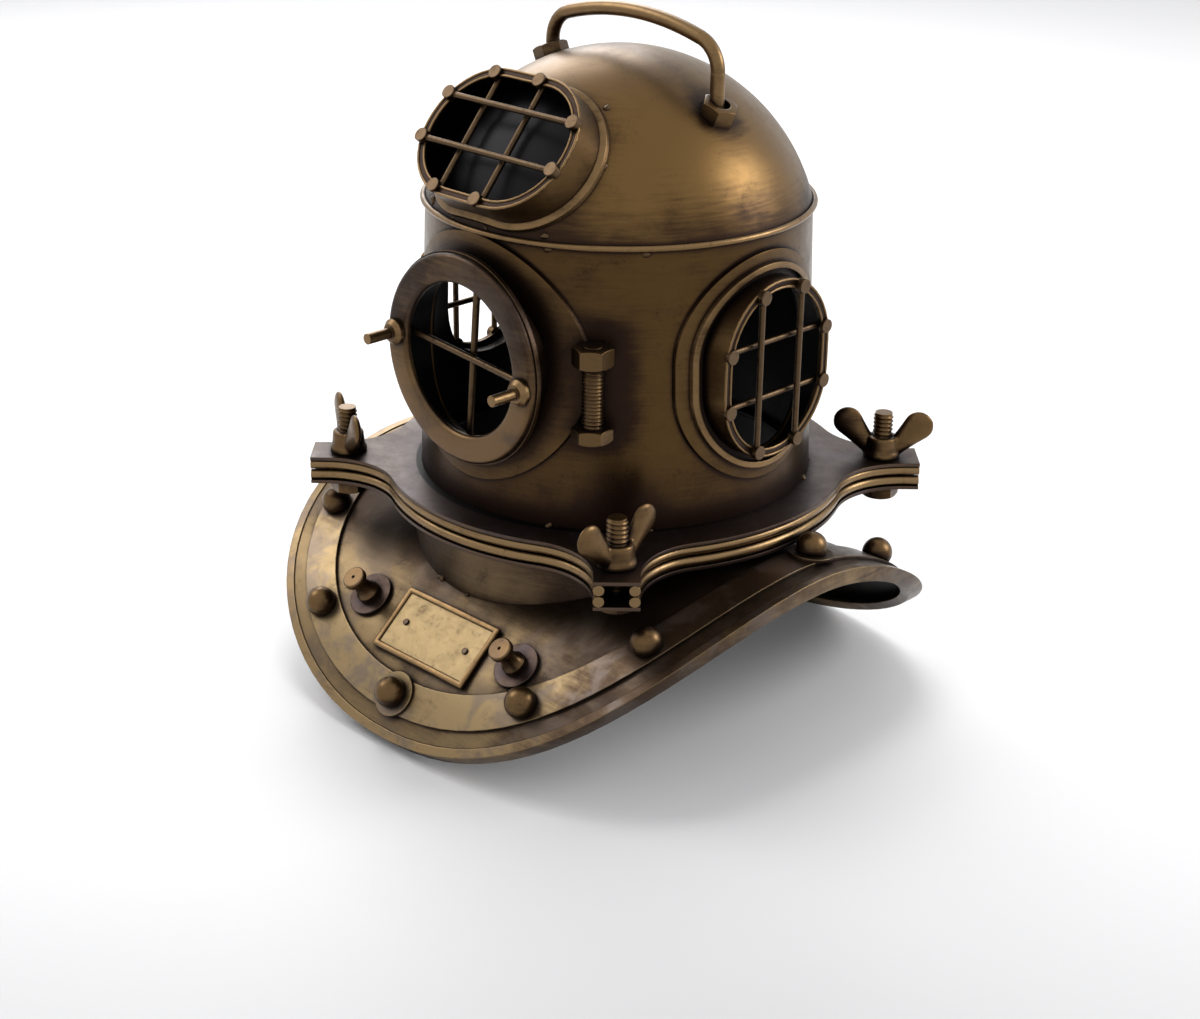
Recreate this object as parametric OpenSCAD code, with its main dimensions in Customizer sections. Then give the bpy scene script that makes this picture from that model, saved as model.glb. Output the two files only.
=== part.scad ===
// Decorative diver's helmet in antique sheet brass: a bonnet that bolts onto
// a breastplate. +Z is up, the front window faces -Y, and the helmet stands
// on z = 0 with its vertical axis through the origin. All sizes are in mm.

/* [Barrel and dome] */
// Outer radius of the barrel at its foot
barrel_r = 58; // [56:0.5:59.5]
// Outer radius of the barrel under the dome
barrel_top_r = 55.4; // [53:0.2:57]
// Height of the barrel from the flange to the dome
barrel_h = 80; // [76:1:90]
// Height of the dome above the barrel
dome_h = 42; // [38:1:48]
// Thickness of the sheet metal
sheet_t = 1.2; // [1:0.1:1.8]
// Radius of the wire bead that covers the seam under the dome
seam_wire_r = 0.9; // [0.6:0.1:1.4]

/* [Front window] */
// Height of the front window's centre above the flange
front_window_z = 44.5; // [42:0.5:46]
// Radius of the opening in the front ring
front_opening_r = 21.6; // [19:0.2:23]
// Outer radius of the front ring
front_ring_r = 29.7; // [28:0.2:32]
// Thickness of the front ring
front_ring_t = 2; // [1.5:0.1:3]
// Outer radius of the short tube that carries the ring
front_tube_r = 25; // [24.4:0.2:26.4]
// Distance from the barrel to the front ring's face, measured on the axis
front_stand = 6; // [5:0.5:9]
// Radius of the saddle plate around the front window
front_saddle_r = 35; // [33:0.5:35.5]
// Turn of the cross bars and studs, from level
cross_turn = -5; // [-10:1:10]
// Radius of the cross bars
cross_bar_r = 1; // [0.8:0.1:1.4]
// Distance from the ring's centre to each stud
stud_reach = 25.7; // [25:0.1:26.2]
// Radius of a stud
stud_r = 1.55; // [1.2:0.05:2]
// Length of a stud in front of the ring
stud_l = 10.5; // [7:0.5:14]
// Radius of the collar round a stud
stud_collar_r = 3.7; // [3:0.1:3.8]

/* [Side windows] */
// Height of the side windows' centres above the flange
side_window_z = 43; // [40:0.5:46]
// Outer radius of the round ends of a side window's tube
side_r = 21.5; // [20:0.5:23]
// Half of the straight part between those ends
side_straight = 4; // [2:0.5:6]
// Distance from the barrel to the mouth, measured on the axis
side_stand = 5.2; // [4.5:0.1:8]
// Width of the saddle plate round the tube
side_saddle_w = 7; // [6:0.5:8]

/* [Top window] */
// Angle of the top window's axis above level
top_tilt = 40; // [38:1:46]
// Outer radius of the round ends of the top window's tube
top_r = 20; // [18:0.5:21]
// Half of the straight part between those ends
top_straight = 8; // [6:0.5:9]
// Distance from the dome to the mouth, measured on the axis
top_stand = 3.8; // [3.4:0.1:6]

/* [Grilles] */
// Thickness of the walls of the side and top tubes
tube_t = 1; // [0.9:0.1:1.2]
// Width of the lip round each mouth, with the wall
lip_w = 2.6; // [2.2:0.1:3.2]
// Radius of the grille bars
bar_r = 0.9; // [0.7:0.05:1]
// Distance between two bars of a side window
side_bar_gap = 16; // [14:0.5:18]
// Distance between the two long bars of the top window
top_long_gap = 14; // [12:0.5:16]
// Distance between the two short bars of the top window
top_short_gap = 17; // [15:0.5:20]
// Shift of the long bars up the top window
top_long_shift = 1.7; // [0:0.1:2]
// Shift of the short bars along the top window
top_short_shift = -4; // [-4.4:0.2:0]
// Radius of the nail heads at the ends of the bars
nail_head_r = 2; // [1.6:0.1:2.4]
// Width of the wires round the feet of the tubes
foot_wire_w = 1.7; // [1.4:0.1:2]

/* [Flange] */
// Height of the flange's top face above the floor
flange_z = 63; // [61:0.5:68]
// Thickness of each of the two flange plates
plate_t = 1; // [0.8:0.1:1.5]
// Diameter of the edge rods between the plates
rod_d = 3; // [2.6:0.1:3.4]
// Gap between the upper and the lower rods
rod_gap = 0.3; // [0.3:0.1:0.6]
// Radius of the rods' middle arc, to the rod's centre
waist_r = 67.2; // [65:0.2:69]
// Radius of the hollow curve beside each lug, to the rod's centre
hollow_r = 24; // [18:1:25]
// Half of the distance between the two rods of a lug
lug_half = 4.8; // [4.7:0.1:5.2]
// Distance from the helmet's axis to the end of a lug
lug_reach = 91; // [90:0.5:94]
// Distance from the helmet's axis to the bolts
bolt_reach = 80.1; // [79:0.1:82]

/* [Bolts and wing nuts] */
// Radius of the bolts
bolt_r = 3; // [2.8:0.05:3.1]
// Length of the bolts above the flange
bolt_rise = 14; // [12:0.5:18]
// Width across the flats of the hexagons
hex_width = 10; // [9:0.1:10.6]
// Height of a bolt's head
bolt_head_h = 4; // [3:0.2:5]
// Height of a hexagon nut
nut_h = 5.4; // [4:0.2:6]
// Clearance round a bolt, on the radius
bolt_clearance = 0.05; // [0.05:0.01:0.1]
// Height of a wing nut's hub
wing_hub_h = 6.5; // [5:0.5:8]
// Radius of a wing nut's hub at its foot
wing_hub_r = 5.5; // [5:0.1:6.2]
// Distance from a wing nut's axis to the centre of its ear's tip
wing_reach = 11.3; // [10.5:0.1:13]
// Height of a wing nut
wing_h = 15; // [14:0.5:18]
// Radius of an ear's tip
wing_tip_r = 3.8; // [3.4:0.1:4.2]
// Thickness of the ears
wing_t = 2.6; // [2:0.1:3.2]
// Length of the bolt beside the front window
hinge_bolt_l = 27; // [24:1:30]
// Height of that bolt's head above the flange
hinge_bolt_z = 28; // [24:1:32]
// Angle of that bolt round the barrel, from the front
hinge_bolt_turn = 38.5; // [38:0.5:40]

/* [Handle] */
// Radius of the handle's wire
handle_wire_r = 2; // [1.6:0.1:2.4]
// Half of the distance between the handle's legs
handle_half = 31.9; // [28:0.5:34]
// Sideways place of the handle's middle
handle_shift = 4.5; // [0:0.5:6]
// Height of the handle's wire above the dome, to the wire's centre
handle_rise = 10.4; // [9:0.2:16]
// Radius of the handle's two corners
handle_corner_r = 9; // [7:0.5:12]
// Radius of the handle's crown
handle_crown_r = 90; // [60:5:150]
// Gap between the wire and the nuts at its feet
handle_nut_gap = 0.5; // [0.3:0.1:0.7]
// Width across the flats of the handle's nuts
handle_nut_width = 8.6; // [8:0.1:10]
// Height of the handle's nuts above the dome, on their axes
handle_nut_h = 3.2; // [3:0.1:4.5]

/* [Breastplate] */
// Outer radius of the neck
neck_r = 58; // [57:0.1:60]
// Distance of the neck's axis in front of the helmet's axis
neck_shift = 3; // [1:0.5:4]
// Radius of the breastplate's front arch, to its top face
front_arch_r = 102.5; // [98:0.5:108]
// Radius of the breastplate's back arch, to its top face
back_arch_r = 80; // [72:0.5:86]
// Place of the ridge between the two arches, behind the axis
ridge_y = -6.2; // [-8:0.2:-2]
// Gap between that ridge and the lower flange plate
ridge_gap = 2.5; // [2:0.1:4]
// Reach of the shoulders past the rods' middle arc
shoulder_reach = 19; // [18.5:0.1:22]
// Reach of the front edge from the shoulder line, along the slope
front_reach = 94.8; // [93:0.2:96.4]
// Drop of the back edge below the shoulder line
back_drop = 49.5; // [49:0.5:53]
// Squareness of the front edge's curve
front_square = 2.14; // [2:0.02:2.3]
// Depth of the rim round the breastplate
rim_h = 4.6; // [3.6:0.1:5]
// Width of the rim over the shoulders
rim_w = 2.6; // [2:0.1:3.4]
// Thickness of the riveted band
band_t = 1; // [0.8:0.1:1.4]
// Distance from the shoulder edge to the band
band_inset = 7.4; // [7:0.1:9]
// Width of the band
band_w = 10.2; // [9:0.1:10.6]

/* [Rivets, pegs and plaque] */
// Radius of the ball rivets
rivet_r = 4.5; // [4:0.1:4.8]
// Radius of the washers under three of the rivets
washer_r = 6.6; // [6:0.1:7]
// Distance from the front washer to the plaque, seen from above
plaque_gap = 3.2; // [2:0.1:5]
// Distance from the plaque's middle back to the pegs
peg_back = 2.1; // [1:0.1:4]
// Sideways place of the plaque and the pegs
plaque_shift = 2; // [0:0.1:3]
// Distance from the plaque's middle to each peg
peg_x = 31.4; // [28:0.2:33]
// Radius of the round plate under a peg
peg_plate_r = 6.8; // [6:0.1:7.5]
// Height of a peg
peg_h = 10.8; // [8:0.2:12]
// Radius of a peg's stem
peg_r = 1.7; // [1.4:0.1:2.2]
// Radius of a peg's head
peg_head_r = 3.5; // [3:0.1:4]
// Width of the plaque
plaque_w = 38.5; // [34:0.5:40]
// Height of the plaque along the slope
plaque_l = 20.2; // [18:0.2:22]
// Width of the plaque's frame
frame_w = 1.7; // [1.2:0.1:2.2]

/* [Hidden] */
$fn = 96;
FINE = 240;
OVER = 1;
SEAT = 0.3;
BRAZE = 0.1;
BEND = 0.04;
BRASS = [0.56, 0.45, 0.27];
PALE_BRASS = [0.70, 0.62, 0.42];
DARK_BRONZE = [0.35, 0.28, 0.19];
WIRE = [0.50, 0.41, 0.27];
SIDES = [-1, 1];
FRONT_RIGHT = -45;
BACK_RIGHT = 45;
BACK_LEFT = 135;
FRONT_LEFT = 225;

// Heights of the flange stack, from the top down
upper_plate_z = flange_z - plate_t;
upper_rod_z = upper_plate_z - rod_d / 2;
lower_rod_z = upper_rod_z - rod_d - rod_gap;
lower_plate_z = lower_rod_z - rod_d / 2 - plate_t;

// The barrel stands on the flange, and the dome is a cap of one sphere
seam_z = flange_z + barrel_h;
dome_r = (barrel_top_r * barrel_top_r + dome_h * dome_h) / (2 * dome_h);
dome_z = seam_z + dome_h - dome_r;
function barrel_radius(z) =
    barrel_r + (barrel_top_r - barrel_r) * (z - flange_z) / barrel_h;
function dome_surface(reach) = dome_z + sqrt(dome_r * dome_r - reach * reach);

// Window planes, measured along each window's own axis
front_z = flange_z + front_window_z;
side_z = flange_z + side_window_z;
front_face = barrel_radius(front_z) + front_stand;
seat_ring_t = 1.4;
side_mouth = barrel_radius(side_z) + side_stand;
top_mouth = dome_r + top_stand;
window_cut = barrel_r * 0.6;
lip_t = 1.2;
foot_gap = 1.9;
foot_wire_h = 1.4;
nail_head_t = 1.4;
nail_r = 0.7;

// A wing nut's hub, above its collar, and the roots of its ears
wing_collar_h = wing_hub_h / 4;
wing_neck_r = wing_hub_r - 1;
wing_root_x = wing_hub_r - 2.1;
wing_root_r = wing_t;

// Edge rods: centre of the hollow curve in the lug's own frame
hollow_turn = asin((lug_half + hollow_r) / (waist_r + hollow_r));
hollow_x = (waist_r + hollow_r) * cos(hollow_turn);

// Breastplate: both arches meet level at the ridge, a little under the flange
ridge_z = lower_plate_z - ridge_gap;
rim_proud = 0.3;
shoulder_y = -2.8;
shoulder_half = waist_r + shoulder_reach;
shoulder_z = ridge_z - rim_h + rim_proud;
front_tilt = 48;
SHOULDER_CUT = 0.1;
function arch_r(y) = y < ridge_y ? front_arch_r : back_arch_r;
function arch_z(y) =
    ridge_z - arch_r(y) + sqrt(arch_r(y) * arch_r(y) - (y - ridge_y) * (y - ridge_y));
function arch_slope(y) = asin((ridge_y - y) / arch_r(y));
function back_y(z) =
    ridge_y + sqrt(back_arch_r * back_arch_r
                   - (z - ridge_z + back_arch_r) * (z - ridge_z + back_arch_r));

// Place on the front arch that lies v down the slope from the shoulder line
function front_y(v) = ridge_y - front_arch_r * sin(front_tilt + asin(
    (v - (shoulder_y - ridge_y) * cos(front_tilt)
       - (shoulder_z - ridge_z + front_arch_r) * sin(front_tilt)) / front_arch_r));

// Points of the front half of a squared oval, from the right to the left
function bow(half, reach, square) =
    [for (t = [0 : 4 : 180])
        [sign(cos(t)) * half * pow(abs(cos(t)), 2 / square),
         -reach * pow(sin(t), 2 / square)]];

// ---------- shared shapes ----------

module barrel_solid(extra = 0) {
    translate([0, 0, flange_z - OVER])
        cylinder(h = barrel_h + 2 * OVER,
                 r1 = barrel_radius(flange_z - OVER) + extra,
                 r2 = barrel_radius(seam_z + OVER) + extra);
}

module dome_ball(extra = 0) {
    translate([0, 0, dome_z]) sphere(r = dome_r + extra);
}

// An oval with round ends: two circles of radius r, each moved by straight
module oval(r, straight, tall = false) {
    rotate(tall ? 90 : 0) {
        for (side = SIDES) translate([side * straight, 0]) circle(r);
        square([2 * straight, 2 * r], center = true);
    }
}

module oval_ring(r, width, straight, tall = false) {
    difference() {
        oval(r, straight, tall);
        oval(r - width, straight, tall);
    }
}

module hexagon(h, width = hex_width) {
    cylinder(h = h, r = width / 2 / cos(30), $fn = 6);
}

// Frames of the windows: local z points out of the helmet
module at_front() {
    translate([0, 0, front_z]) rotate([90, 0, 0]) children();
}

module at_side(side) {
    translate([0, 0, side_z]) rotate([90, 0, side * 90]) children();
}

module at_top() {
    translate([0, 0, dome_z]) rotate([90 - top_tilt, 0, 0]) children();
}

module at_bolt(turn) {
    rotate(turn) translate([bolt_reach, 0, 0]) children();
}

// ---------- barrel and dome ----------

module barrel() color(BRASS)
    difference() {
        translate([0, 0, flange_z])
            cylinder(h = barrel_h, r1 = barrel_r, r2 = barrel_top_r);
        barrel_solid(-sheet_t);
        at_front() translate([0, 0, window_cut]) cylinder(h = barrel_r, r = front_tube_r - sheet_t);
        for (side = SIDES) at_side(side) translate([0, 0, window_cut]) linear_extrude(barrel_r)
            oval(side_r - tube_t, side_straight, tall = true);
    }

module dome() color(BRASS)
    difference() {
        dome_ball();
        dome_ball(-sheet_t);
        translate([0, 0, seam_z - 2 * dome_r])
            cylinder(h = 2 * dome_r, r = 2 * dome_r);
    }

module seam_bead() color(WIRE)
    rotate_extrude() difference() {
        translate([barrel_top_r + seam_wire_r / 2, seam_z]) circle(seam_wire_r);
        translate([0, dome_z]) circle(dome_r, $fn = FINE);
        polygon([[0, flange_z], [barrel_r, flange_z], [barrel_top_r, seam_z], [0, seam_z]]);
    }

// ---------- grilled windows ----------

// How far an oval of end radius r reaches along one of its axes, at a
// distance across that axis
function oval_reach(across, r, along_straight, across_straight) =
    along_straight + sqrt(r * r - pow(max(0, across - across_straight), 2));

// One bar along local x. An upper bar is seated on the mouth between its
// two nail heads, and a lower one hangs on its nails under the lip.
module grille_bar(half, upper) {
    bar_z = upper ? bar_r - SEAT : BRAZE - lip_t - bar_r;
    translate([-half, 0, bar_z]) rotate([0, 90, 0]) cylinder(h = 2 * half, r = bar_r);
    for (side = SIDES) translate([side * half, 0, 0]) {
        if (!upper) translate([0, 0, bar_z]) cylinder(h = -bar_z, r = nail_r);
        translate([0, 0, -SEAT])
            cylinder(h = nail_head_t + (upper ? bar_r : 0), r = nail_head_r);
    }
}

// Where the bars' ends lie: under the heads, on the tube's wall and lip
function nail_line(r) = r - tube_t - nail_head_r / 4 - 0.1;

// Two bars each way, moved aside by shift = [of the short bars along the long
// axis, of the long bars across it]. A tall window's upper bars stand up.
module grille(r, straight, tall, long_gap, short_gap, shift = [0, 0]) {
    rotate(tall ? 90 : 0) for (side = SIDES) {
        across = shift[1] + side * long_gap / 2;
        along = shift[0] + side * short_gap / 2;
        translate([0, across, 0])
            grille_bar(oval_reach(abs(across), nail_line(r), straight, 0), upper = true);
        translate([along, 0, 0]) rotate(90)
            grille_bar(oval_reach(abs(along), nail_line(r), 0, straight), upper = false);
    }
}

// Holes in the lip for the lower bars' nails
module nail_holes(r, straight, tall, short_gap, shift = 0) {
    rotate(tall ? 90 : 0) for (x = SIDES, y = SIDES) {
        along = shift + x * short_gap / 2;
        translate([along, y * oval_reach(abs(along), nail_line(r), 0, straight), -2 * lip_t])
            cylinder(h = 2 * lip_t, r = nail_r);
    }
}

module side_grille(side)
    at_side(side) translate([0, 0, side_mouth])
        grille(side_r, side_straight, true, side_bar_gap, side_bar_gap);

module top_grille()
    at_top() translate([0, 0, top_mouth])
        grille(top_r, top_straight, false, top_long_gap, top_short_gap,
               [top_short_shift, top_long_shift]);

// Tube wall from inside the skin up to the mouth, with a lip turned inwards
module lipped_tube(r, straight, tall, mouth) {
    depth = mouth - r / 2;
    translate([0, 0, mouth - depth]) linear_extrude(depth)
        oval_ring(r, tube_t, straight, tall);
    translate([0, 0, mouth - lip_t]) linear_extrude(lip_t)
        oval_ring(r, lip_w, straight, tall);
}

module side_tube(side) color(BRASS)
    difference() {
        at_side(side) lipped_tube(side_r, side_straight, true, side_mouth);
        barrel_solid();
        at_side(side) translate([0, 0, side_mouth])
            nail_holes(side_r, side_straight, true, side_bar_gap);
    }

module side_saddle(side) color(BRASS)
    difference() {
        intersection() {
            barrel_solid(sheet_t);
            at_side(side) linear_extrude(side_mouth)
                oval(side_r + side_saddle_w, side_straight, tall = true);
        }
        barrel_solid();
        at_side(side) linear_extrude(side_mouth + OVER)
            oval(side_r, side_straight, tall = true);
    }

module side_foot_wire(side) color(WIRE)
    difference() {
        intersection() {
            barrel_solid(sheet_t + foot_wire_h);
            at_side(side) linear_extrude(side_mouth)
                oval_ring(side_r + foot_gap + foot_wire_w, foot_wire_w, side_straight, tall = true);
        }
        barrel_solid(sheet_t);
    }

module right_saddle() side_saddle(1);
module right_foot_wire() side_foot_wire(1);
module right_window_tube() side_tube(1);
module right_window_grille() color(PALE_BRASS) side_grille(1);
module left_saddle() side_saddle(-1);
module left_foot_wire() side_foot_wire(-1);
module left_window_tube() side_tube(-1);
module left_window_grille() color(PALE_BRASS) side_grille(-1);

module top_window_tube() color(BRASS)
    difference() {
        at_top() lipped_tube(top_r, top_straight, false, top_mouth);
        dome_ball();
        at_top() translate([0, 0, top_mouth])
            nail_holes(top_r, top_straight, false, top_short_gap, top_short_shift);
    }

module top_window_wire() color(WIRE)
    difference() {
        intersection() {
            dome_ball(foot_wire_h);
            at_top() linear_extrude(top_mouth)
                oval_ring(top_r + foot_wire_w, foot_wire_w, top_straight);
        }
        dome_ball();
    }

module top_window_grille() color(PALE_BRASS) top_grille();

// ---------- front window ----------

// The saddle plate and all that lies behind it
module front_saddle_solid() {
    intersection() {
        barrel_solid(sheet_t);
        at_front() cylinder(h = front_face, r = front_saddle_r);
    }
}

module front_saddle() color(BRASS)
    difference() {
        front_saddle_solid();
        barrel_solid();
        at_front() cylinder(h = front_face + OVER, r = front_tube_r);
    }

module front_tube() color(BRASS)
    difference() {
        at_front() cylinder(h = front_face - front_ring_t - seat_ring_t, r = front_tube_r);
        at_front() cylinder(h = front_face, r = front_tube_r - sheet_t);
        barrel_solid();
    }

module front_seat_ring() color(WIRE)
    at_front() translate([0, 0, front_face - front_ring_t - seat_ring_t])
        difference() {
            cylinder(h = seat_ring_t, r = front_ring_r + seat_ring_t / 3);
            translate([0, 0, -OVER])
                cylinder(h = seat_ring_t + 2 * OVER, r = front_tube_r - sheet_t);
        }

module front_ring() color(PALE_BRASS)
    at_front() translate([0, 0, front_face - front_ring_t])
        difference() {
            cylinder(h = front_ring_t, r = front_ring_r);
            translate([0, 0, -OVER]) cylinder(h = front_ring_t + 2 * OVER, r = front_opening_r);
        }

module front_studs() color(WIRE)
    at_front() for (side = SIDES)
        rotate(cross_turn) translate([side * stud_reach, 0, front_face]) {
            cylinder(h = stud_l, r = stud_r);
            rotate_extrude() polygon([[0, 0], [stud_collar_r, 0], [stud_collar_r, 1.2],
                                      [stud_r + 1, 2.4], [0, 2.4]]);
        }

// Two rods brazed together where they cross, cut to the tube's inner wall
module front_cross_bars() color(WIRE)
    intersection() {
        at_front() cylinder(h = front_face, r = front_tube_r - sheet_t);
        at_front() rotate(cross_turn) {
            bar_z = front_face - front_ring_t - seat_ring_t - cross_bar_r;
            translate([-front_tube_r, 0, bar_z])
                rotate([0, 90, 0]) cylinder(h = 2 * front_tube_r, r = cross_bar_r);
            translate([0, front_tube_r, bar_z - 1.9 * cross_bar_r])
                rotate([90, 0, 0]) cylinder(h = 2 * front_tube_r, r = cross_bar_r);
        }
    }

// ---------- hinge bolt and handle ----------

// The bolt's hexagons bear on the barrel with one flat
module at_hinge_bolt() {
    reach = barrel_radius(flange_z + hinge_bolt_z + hinge_bolt_l) + hex_width / 2;
    rotate(hinge_bolt_turn) translate([0, -reach, flange_z + hinge_bolt_z]) children();
}

module hinge_bolt() color(BRASS)
    difference() {
        at_hinge_bolt() {
            hexagon(bolt_head_h);
            cylinder(h = hinge_bolt_l, r = bolt_r);
        }
        barrel_solid();
        front_saddle_solid();
    }

module hinge_nut() color(BRASS)
    difference() {
        at_hinge_bolt() translate([0, 0, hinge_bolt_l - nut_h - 0.3]) hexagon(nut_h);
        at_hinge_bolt() cylinder(h = hinge_bolt_l + OVER, r = bolt_r);
        barrel_solid();
        front_saddle_solid();
    }

// The crown is one long arc, and each corner is an arc that meets it in line.
// The corners are a hair thinner, as wire is where it is bent sharply.
module handle_wire() {
    crown_z = seam_z + dome_h + handle_rise - handle_crown_r;
    corner_x = handle_half - handle_corner_r;
    crown_turn = asin(corner_x / (handle_crown_r - handle_corner_r));
    corner_z = crown_z + (handle_crown_r - handle_corner_r) * cos(crown_turn);
    crown_half = crown_turn + asin(BRAZE / handle_crown_r);
    translate([0, 0, crown_z]) rotate([90, 0, 0]) rotate(90 - crown_half)
        rotate_extrude(angle = 2 * crown_half)
            translate([handle_crown_r, 0]) circle(handle_wire_r);
    for (flip = [0, 1]) mirror([flip, 0, 0]) {
        translate([handle_half, 0, seam_z])
            cylinder(h = corner_z - seam_z + BRAZE, r = handle_wire_r);
        translate([corner_x, 0, corner_z]) rotate([90, 0, 0])
            rotate_extrude(angle = 90 - crown_turn)
                translate([handle_corner_r, 0]) circle(handle_wire_r - BEND);
    }
}

module handle() color(WIRE)
    difference() {
        translate([handle_shift, 0, 0]) handle_wire();
        dome_ball();
    }

module handle_nuts() color(BRASS)
    for (side = SIDES) {
        foot_x = handle_shift + side * handle_half;
        nut_top = dome_surface(abs(foot_x)) + handle_nut_h;
        difference() {
            translate([foot_x, 0, nut_top - 3 * handle_nut_h]) rotate(-15 * side)
                hexagon(3 * handle_nut_h, handle_nut_width);
            translate([foot_x, 0, nut_top - 4 * handle_nut_h])
                cylinder(h = 5 * handle_nut_h, r = handle_wire_r + handle_nut_gap);
            dome_ball();
        }
    }

// ---------- flange ----------

// Outline of a flange plate, which covers the rods to their outer edge
module flange_outline() {
    edge = rod_d / 2;
    circle(waist_r + edge);
    for (turn = [45 : 90 : 315]) rotate(turn) {
        translate([0, -lug_half - edge]) square([lug_reach, 2 * (lug_half + edge)]);
        for (flip = [0, 1]) mirror([0, flip]) difference() {
            polygon([[0, 0], [hollow_x, 0], [hollow_x, lug_half + hollow_r]]);
            translate([hollow_x, lug_half + hollow_r]) circle(hollow_r - edge);
        }
    }
}

module bolt_holes(radius) {
    for (turn = [45 : 90 : 315]) rotate(turn) translate([bolt_reach, 0]) circle(radius);
}

// Wire from one lug's end to the next: straight, hollow, waist, hollow and
// straight. The hollows are a hair thinner, as wire is where it is bent.
module edge_wire() {
    waist_from = hollow_turn - asin(BRAZE / waist_r);
    rotate(waist_from) rotate_extrude(angle = 90 - 2 * waist_from)
        translate([waist_r, 0]) circle(rod_d / 2);
    for (flip = [0, 1]) mirror([flip, -flip, 0]) {
        translate([hollow_x - BRAZE, lug_half, 0]) rotate([0, 90, 0])
            cylinder(h = lug_reach - hollow_x + BRAZE, r = rod_d / 2);
        translate([hollow_x, lug_half + hollow_r, 0]) rotate(180 + hollow_turn)
            rotate_extrude(angle = 90 - hollow_turn)
                translate([hollow_r, 0]) circle(rod_d / 2 - BEND);
    }
}

module edge_rods(z) color(WIRE)
    translate([0, 0, z]) for (turn = [45 : 90 : 315]) rotate(turn) edge_wire();

module upper_flange() color(DARK_BRONZE)
    translate([0, 0, upper_plate_z]) linear_extrude(plate_t)
        difference() {
            flange_outline();
            circle(barrel_r - sheet_t - 2.8);
            bolt_holes(bolt_r + 2 * bolt_clearance);
        }

module lower_flange() color(DARK_BRONZE)
    translate([0, 0, lower_plate_z]) linear_extrude(plate_t)
        difference() {
            flange_outline();
            translate([0, -neck_shift]) circle(neck_r);
            bolt_holes(bolt_r);
        }

module upper_edge_rods() edge_rods(upper_rod_z);
module lower_edge_rods() edge_rods(lower_rod_z);

module flange_bolts() color(BRASS)
    for (turn = [45 : 90 : 315]) at_bolt(turn) {
        translate([0, 0, lower_plate_z - bolt_head_h]) hexagon(bolt_head_h);
        translate([0, 0, lower_plate_z])
            cylinder(h = flange_z + bolt_rise - lower_plate_z, r = bolt_r);
    }

// ---------- wing nuts ----------

// Two circles and the straight sides that touch them both
module taper_bar(x1, y1, r1, x2, y2, r2) {
    length = sqrt(pow(x2 - x1, 2) + pow(y2 - y1, 2));
    lean = atan2(y2 - y1, x2 - x1);
    swell = asin((r1 - r2) / length);
    translate([x1, y1]) rotate(lean) {
        circle(r1);
        translate([length, 0]) circle(r2);
        polygon([[r1 * sin(swell), r1 * cos(swell)],
                 [length + r2 * sin(swell), r2 * cos(swell)],
                 [length + r2 * sin(swell), -r2 * cos(swell)],
                 [r1 * sin(swell), -r1 * cos(swell)]]);
    }
}

// A hub that tapers up from a collar, and two ears
module wing_nut(bolt_turn, wing_turn) color(BRASS)
    at_bolt(bolt_turn) translate([0, 0, flange_z]) rotate(wing_turn - bolt_turn)
        difference() {
            union() {
                rotate_extrude()
                    polygon([[0, 0], [wing_hub_r, 0], [wing_hub_r, wing_collar_h],
                             [wing_neck_r, wing_hub_h], [0, wing_hub_h]]);
                for (flip = [0, 1]) mirror([flip, 0, 0]) rotate([90, 0, 0])
                    linear_extrude(wing_t, center = true)
                        taper_bar(wing_root_x, wing_root_r + SEAT, wing_root_r,
                                  wing_reach, wing_h - wing_tip_r, wing_tip_r);
            }
            translate([0, 0, -OVER]) cylinder(h = wing_h + 2 * OVER, r = bolt_r + bolt_clearance);
        }

// The nuts stop where they were last tightened, each at its own angle
module wing_nut_front_right() wing_nut(FRONT_RIGHT, FRONT_RIGHT + 136);
module wing_nut_front_left() wing_nut(FRONT_LEFT, FRONT_LEFT + 109);
module wing_nut_back_right() wing_nut(BACK_RIGHT, BACK_RIGHT - 10);
module wing_nut_back_left() wing_nut(BACK_LEFT, BACK_LEFT - 55);

// ---------- breastplate ----------

// All that lies under the breastplate's top face, moved out by extra
module arch(extra = 0) {
    rotate([90, 0, 90]) linear_extrude(4 * shoulder_half, center = true) {
        intersection() {
            translate([ridge_y, ridge_z - front_arch_r]) circle(front_arch_r + extra, $fn = FINE);
            translate([ridge_y - 2 * front_arch_r, -front_arch_r])
                square([2 * front_arch_r, 3 * front_arch_r]);
        }
        intersection() {
            translate([ridge_y, ridge_z - back_arch_r]) circle(back_arch_r + extra, $fn = FINE);
            translate([ridge_y, -front_arch_r]) square([2 * front_arch_r, 3 * front_arch_r]);
        }
    }
}

module arch_skin(low, high) {
    difference() {
        arch(high);
        arch(low);
    }
}

// All that lies inside an outline that keeps inset from the outer edge. The
// front edge is a bow seen square to the front slope, so the rim's side stands
// square to the sheet there, and the back edge is a bow seen from behind.
// Both bows are drawn a little too wide and one pair of flat sides cuts them,
// so the sides run across the shoulder line in one face.
module apron(inset) {
    half = shoulder_half - inset;
    wide = half + SHOULDER_CUT;
    sides = [[-wide, half], [wide, half]];
    intersection() {
        union() {
            intersection() {
                translate([0, shoulder_y, shoulder_z]) rotate([front_tilt, 0, 0])
                    linear_extrude(4 * half, center = true)
                        polygon(concat(bow(wide, front_reach - inset, front_square), sides));
                translate([-2 * half, shoulder_y - 4 * half, -half]) cube(4 * half);
            }
            intersection() {
                translate([0, shoulder_y + front_reach, shoulder_z]) rotate([90, 0, 0])
                    linear_extrude(front_reach)
                        polygon(concat(bow(wide, back_drop - inset, 2), sides));
                translate([-2 * half, shoulder_y, -half]) cube(4 * half);
            }
        }
        translate([-half, -3 * half, -2 * half]) cube([2 * half, 6 * half, 6 * half]);
    }
}

module above_floor() {
    intersection() {
        children();
        translate([-2 * shoulder_half, -2 * shoulder_half, 0]) cube(4 * shoulder_half);
    }
}

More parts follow.
